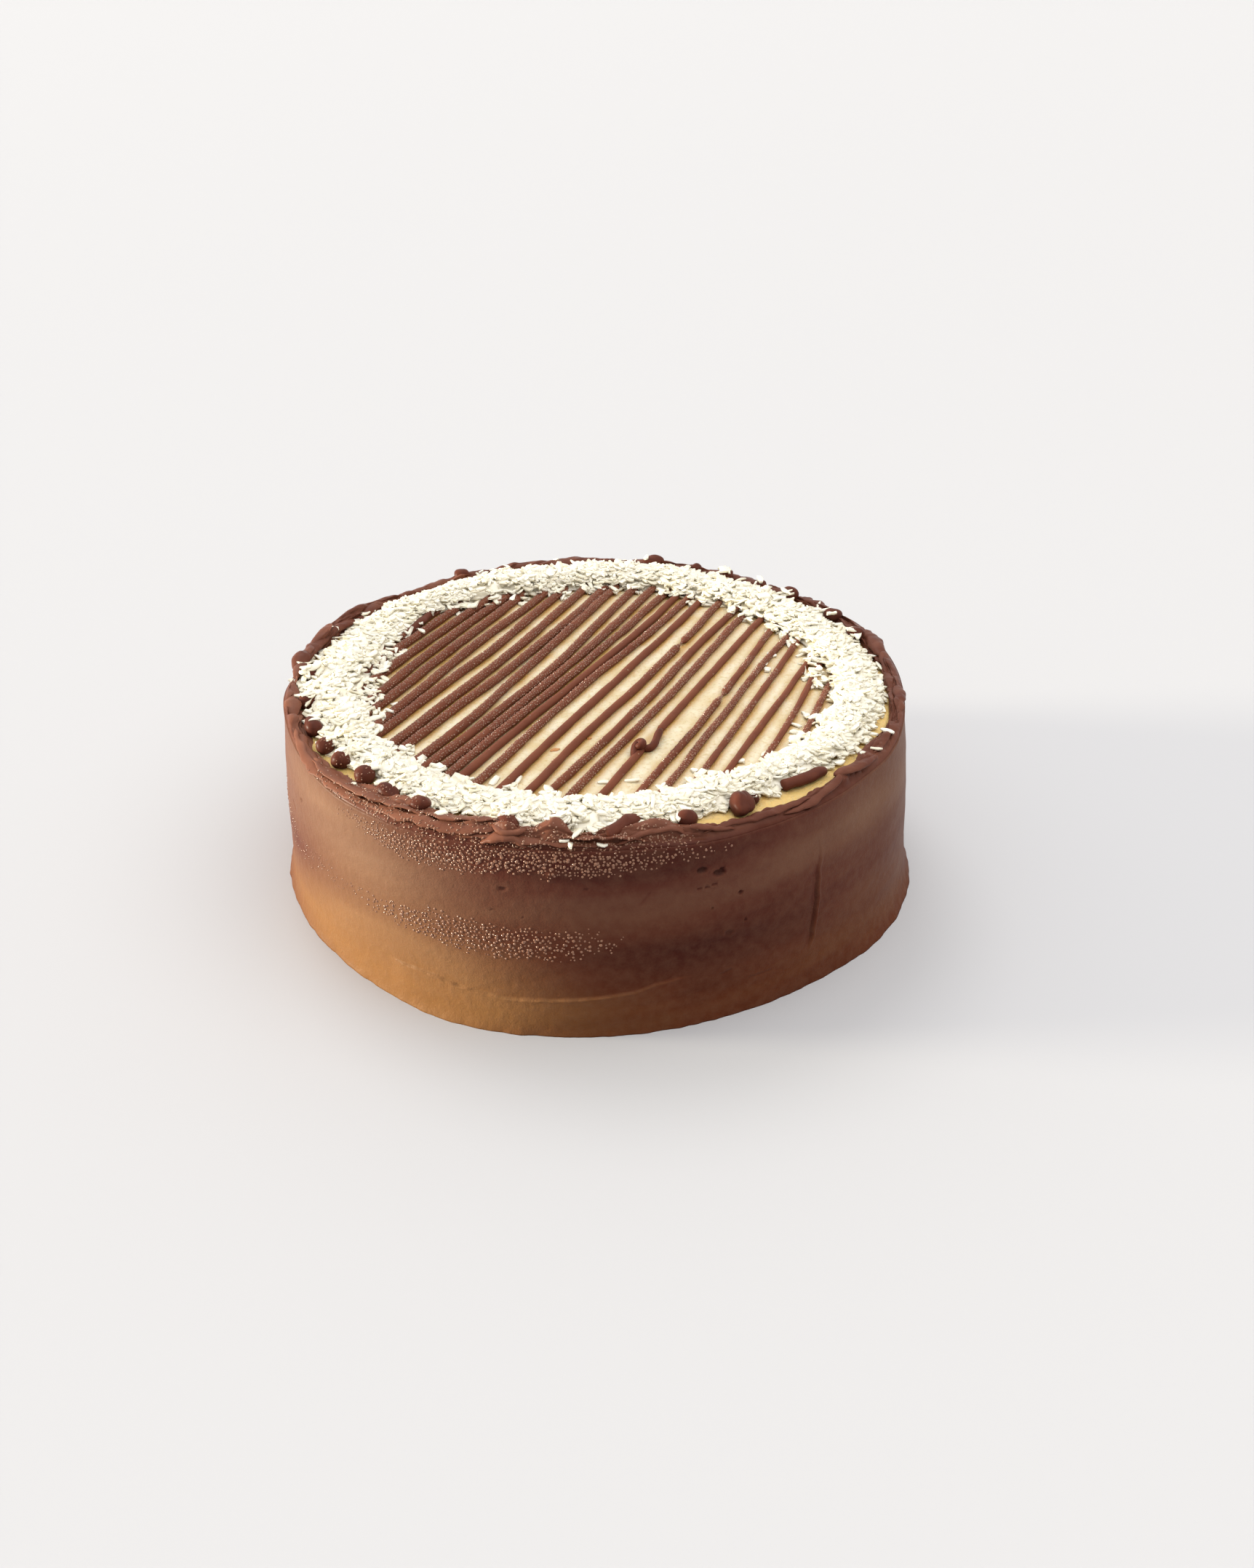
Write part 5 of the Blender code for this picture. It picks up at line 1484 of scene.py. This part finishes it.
# (right, back) in mm, then those on the rim as (degrees, mm out)
LOOSE_FLAKES = ((83, 6), (75, -38), (68, 13), (86, -2), (17, 73), (53, -65), (62, -60), (36, -72), (4, -80),
                (-26, -80), (-34, -79), (-58, -67), (-76, -22), (71, 21), (-66, -57), (80, -31), (14, -79),
                (82.5, -0.1), (83.3, 0.8), (84, -7), (74.2, -43.7), (75.6, -44.4), (75.3, -46), (68.2, 7.7),
                (79, -28.8))
RIM_FLAKES = ((-23.4, 117.6), (-134.9, 117.2), (-115.7, 115.6), (-72.6, 112.4), (-30, 118), (-33, 115),
              (100, 117), (35, 116), (-94, 119), (-93, 119.6), (-88, 119.4), (-92, 117), (160, 116),
              (150, 115.5))


def over_drops(places):
    """The top of the drops over each place: an ellipsoid's height at the distance to its middle."""
    top = np.zeros(len(places))
    for middle, half in drop_sizes:
        distance = np.hypot(*(places[:, :2] - middle[:2]).T) / half[1]
        rise = half[2] * np.sqrt(np.clip(1 - distance**2, 0, 1))
        top = np.maximum(top, np.where(distance < 1, middle[2] + rise, 0))
    return top


def over_stripes(places):
    """The top of the stripes over each place: a circle's height at the distance to the axis."""
    along, across = on_stripe_axes(places)
    top = np.zeros(len(places))
    for number in range(len(STRIPES)):
        radius = full_radius(number)
        distance = np.abs(across - stripe_offset(number, along))
        rise = STRIPE_RISE * radius + STRIPE_SQUASH * np.sqrt(np.clip(radius**2 - distance**2, 0, None))
        top = np.maximum(top, np.where(distance < radius, CREAM_HEIGHT + rise, 0))
    return top


def sown_places(count, seed):
    """Azimuths by chance; shares across thick in the middle and thin past both edges; heights by the arch."""
    draw = np.random.default_rng(seed)
    azimuth = draw.uniform(-np.pi, np.pi, count)
    share = np.clip(draw.beta(1.05, 1.1, count) * 1.14 - 0.05 + 0.03 * draw.normal(size=count), -0.14, 1.2)
    inner, outer = wreath_edges(azimuth)
    ring = round_cake(azimuth, 0.1, 0 * azimuth)
    wander = 1.2 * MM * noise(ring, 0.006, 64) + 3 * MM * (share < 0.12) * noise(ring, 0.004, 65)
    radius = inner + share * (outer - inner) + wander * (1 + (share < 0.1))
    on_disc = CREAM_HEIGHT + 0.35 * MM + wreath_rise(azimuth, np.clip(share, 0, 1))
    over_lip = np.clip((radius - lip_radius(azimuth)) / MM + 1, 0, 1)
    ground = np.maximum(on_disc, CREAM_HEIGHT + over_lip * 2 * MM)
    there = round_cake(azimuth, radius, 0)
    ground = np.maximum(ground, np.maximum(over_drops(there), over_stripes(there)))
    return round_cake(azimuth, radius, ground + draw.exponential(0.24, count) * MM), draw


def flake_arrays(places, draw, lean):
    """Boxes of four places by four corners: half sizes, taper, bend and a shaken outline, then turned."""
    count = len(places)
    length = draw.uniform(*FLAKE_LENGTH, count)
    width = np.clip(draw.gamma(6, 0.33, count), *FLAKE_WIDTH) * np.clip(length / 3.4, 0.8, 1.15)
    thick = draw.uniform(*FLAKE_THICKNESS, count)
    share = np.linspace(-0.5, 0.5, 4)
    taper = 1 - np.abs(share[None]) ** 2 * draw.uniform(0.6, 3.0, (count, 1))
    taper = taper * (1 + share[None] * draw.uniform(-0.8, 0.8, (count, 1)))
    taper = np.clip(taper + draw.uniform(-0.22, 0.22, (count, 4)), 0.15, 1.2)
    corner = np.array([[-0.5, -0.5], [0.5, -0.5], [0.5, 0.5], [-0.5, 0.5]])
    x = (share[None] * length[:, None])[:, :, None] + 0 * corner[:, 0]
    y = corner[None, None, :, 0] * (width[:, None] * taper)[:, :, None]
    z = corner[None, None, :, 1] * thick[:, None, None] + 0 * y
    bend = draw.uniform(-0.7, 0.7, (count, 1)) * share[None] ** 2 * 2
    curve = draw.uniform(-0.8, 0.8, (count, 1)) * share[None] ** 2 * 2
    local = np.stack([x, y + curve[..., None], z + bend[..., None]], axis=-1).reshape(count, 16, 3) * MM
    local += draw.uniform(-0.07, 0.07, local.shape) * MM
    normal = np.stack([draw.normal(0, lean, count), draw.normal(0, lean, count), np.ones(count)], axis=-1)
    around_it = draw.uniform(0, 2 * np.pi, count)
    along = np.stack([np.cos(around_it), np.sin(around_it), 0 * around_it], axis=-1)
    turned = np.einsum("nij,nkj->nki", frames(normal, along), local)
    sides = grid_faces(4, 4, wrap_columns=True)
    shape = np.concatenate([sides, [[3, 2, 1, 0], [12, 13, 14, 15]]])
    faces = shape[None] + 16 * np.arange(count)[:, None, None]
    tones = np.repeat(np.clip(draw.normal(0.55, 0.28, count), 0, 1), 16)
    return turned + places[:, None], faces.reshape(-1, 4), tones


for part, count in enumerate((FLAKES // 2, FLAKES - FLAKES // 2)):
    places, draw = sown_places(count, 70 + part)
    points, faces, tones = flake_arrays(places, draw, WREATH_LEAN)
    flakes = add_piece(f"coconut_flakes_{part + 1}", points, faces, COCONUT, smooth=False, tone=tones)

on_cream = np.array([(x, y, 0) for x, y in LOOSE_FLAKES]) * MM + np.array([0, 0, CREAM_HEIGHT + 0.5 * MM])
rim_degrees, rim_outs = np.array(RIM_FLAKES).T
rim_turns, rim_outs = np.radians(rim_degrees), rim_outs * MM
on_rim = round_cake(rim_turns, rim_outs, rim_height(rim_turns, rim_outs) + 1.1 * MM)
lying = np.concatenate([on_cream, on_rim])
points, faces, tones = flake_arrays(lying, np.random.default_rng(77), LOOSE_LEAN)
loose = add_piece("loose_flakes", points, faces, COCONUT, smooth=False, tone=tones)
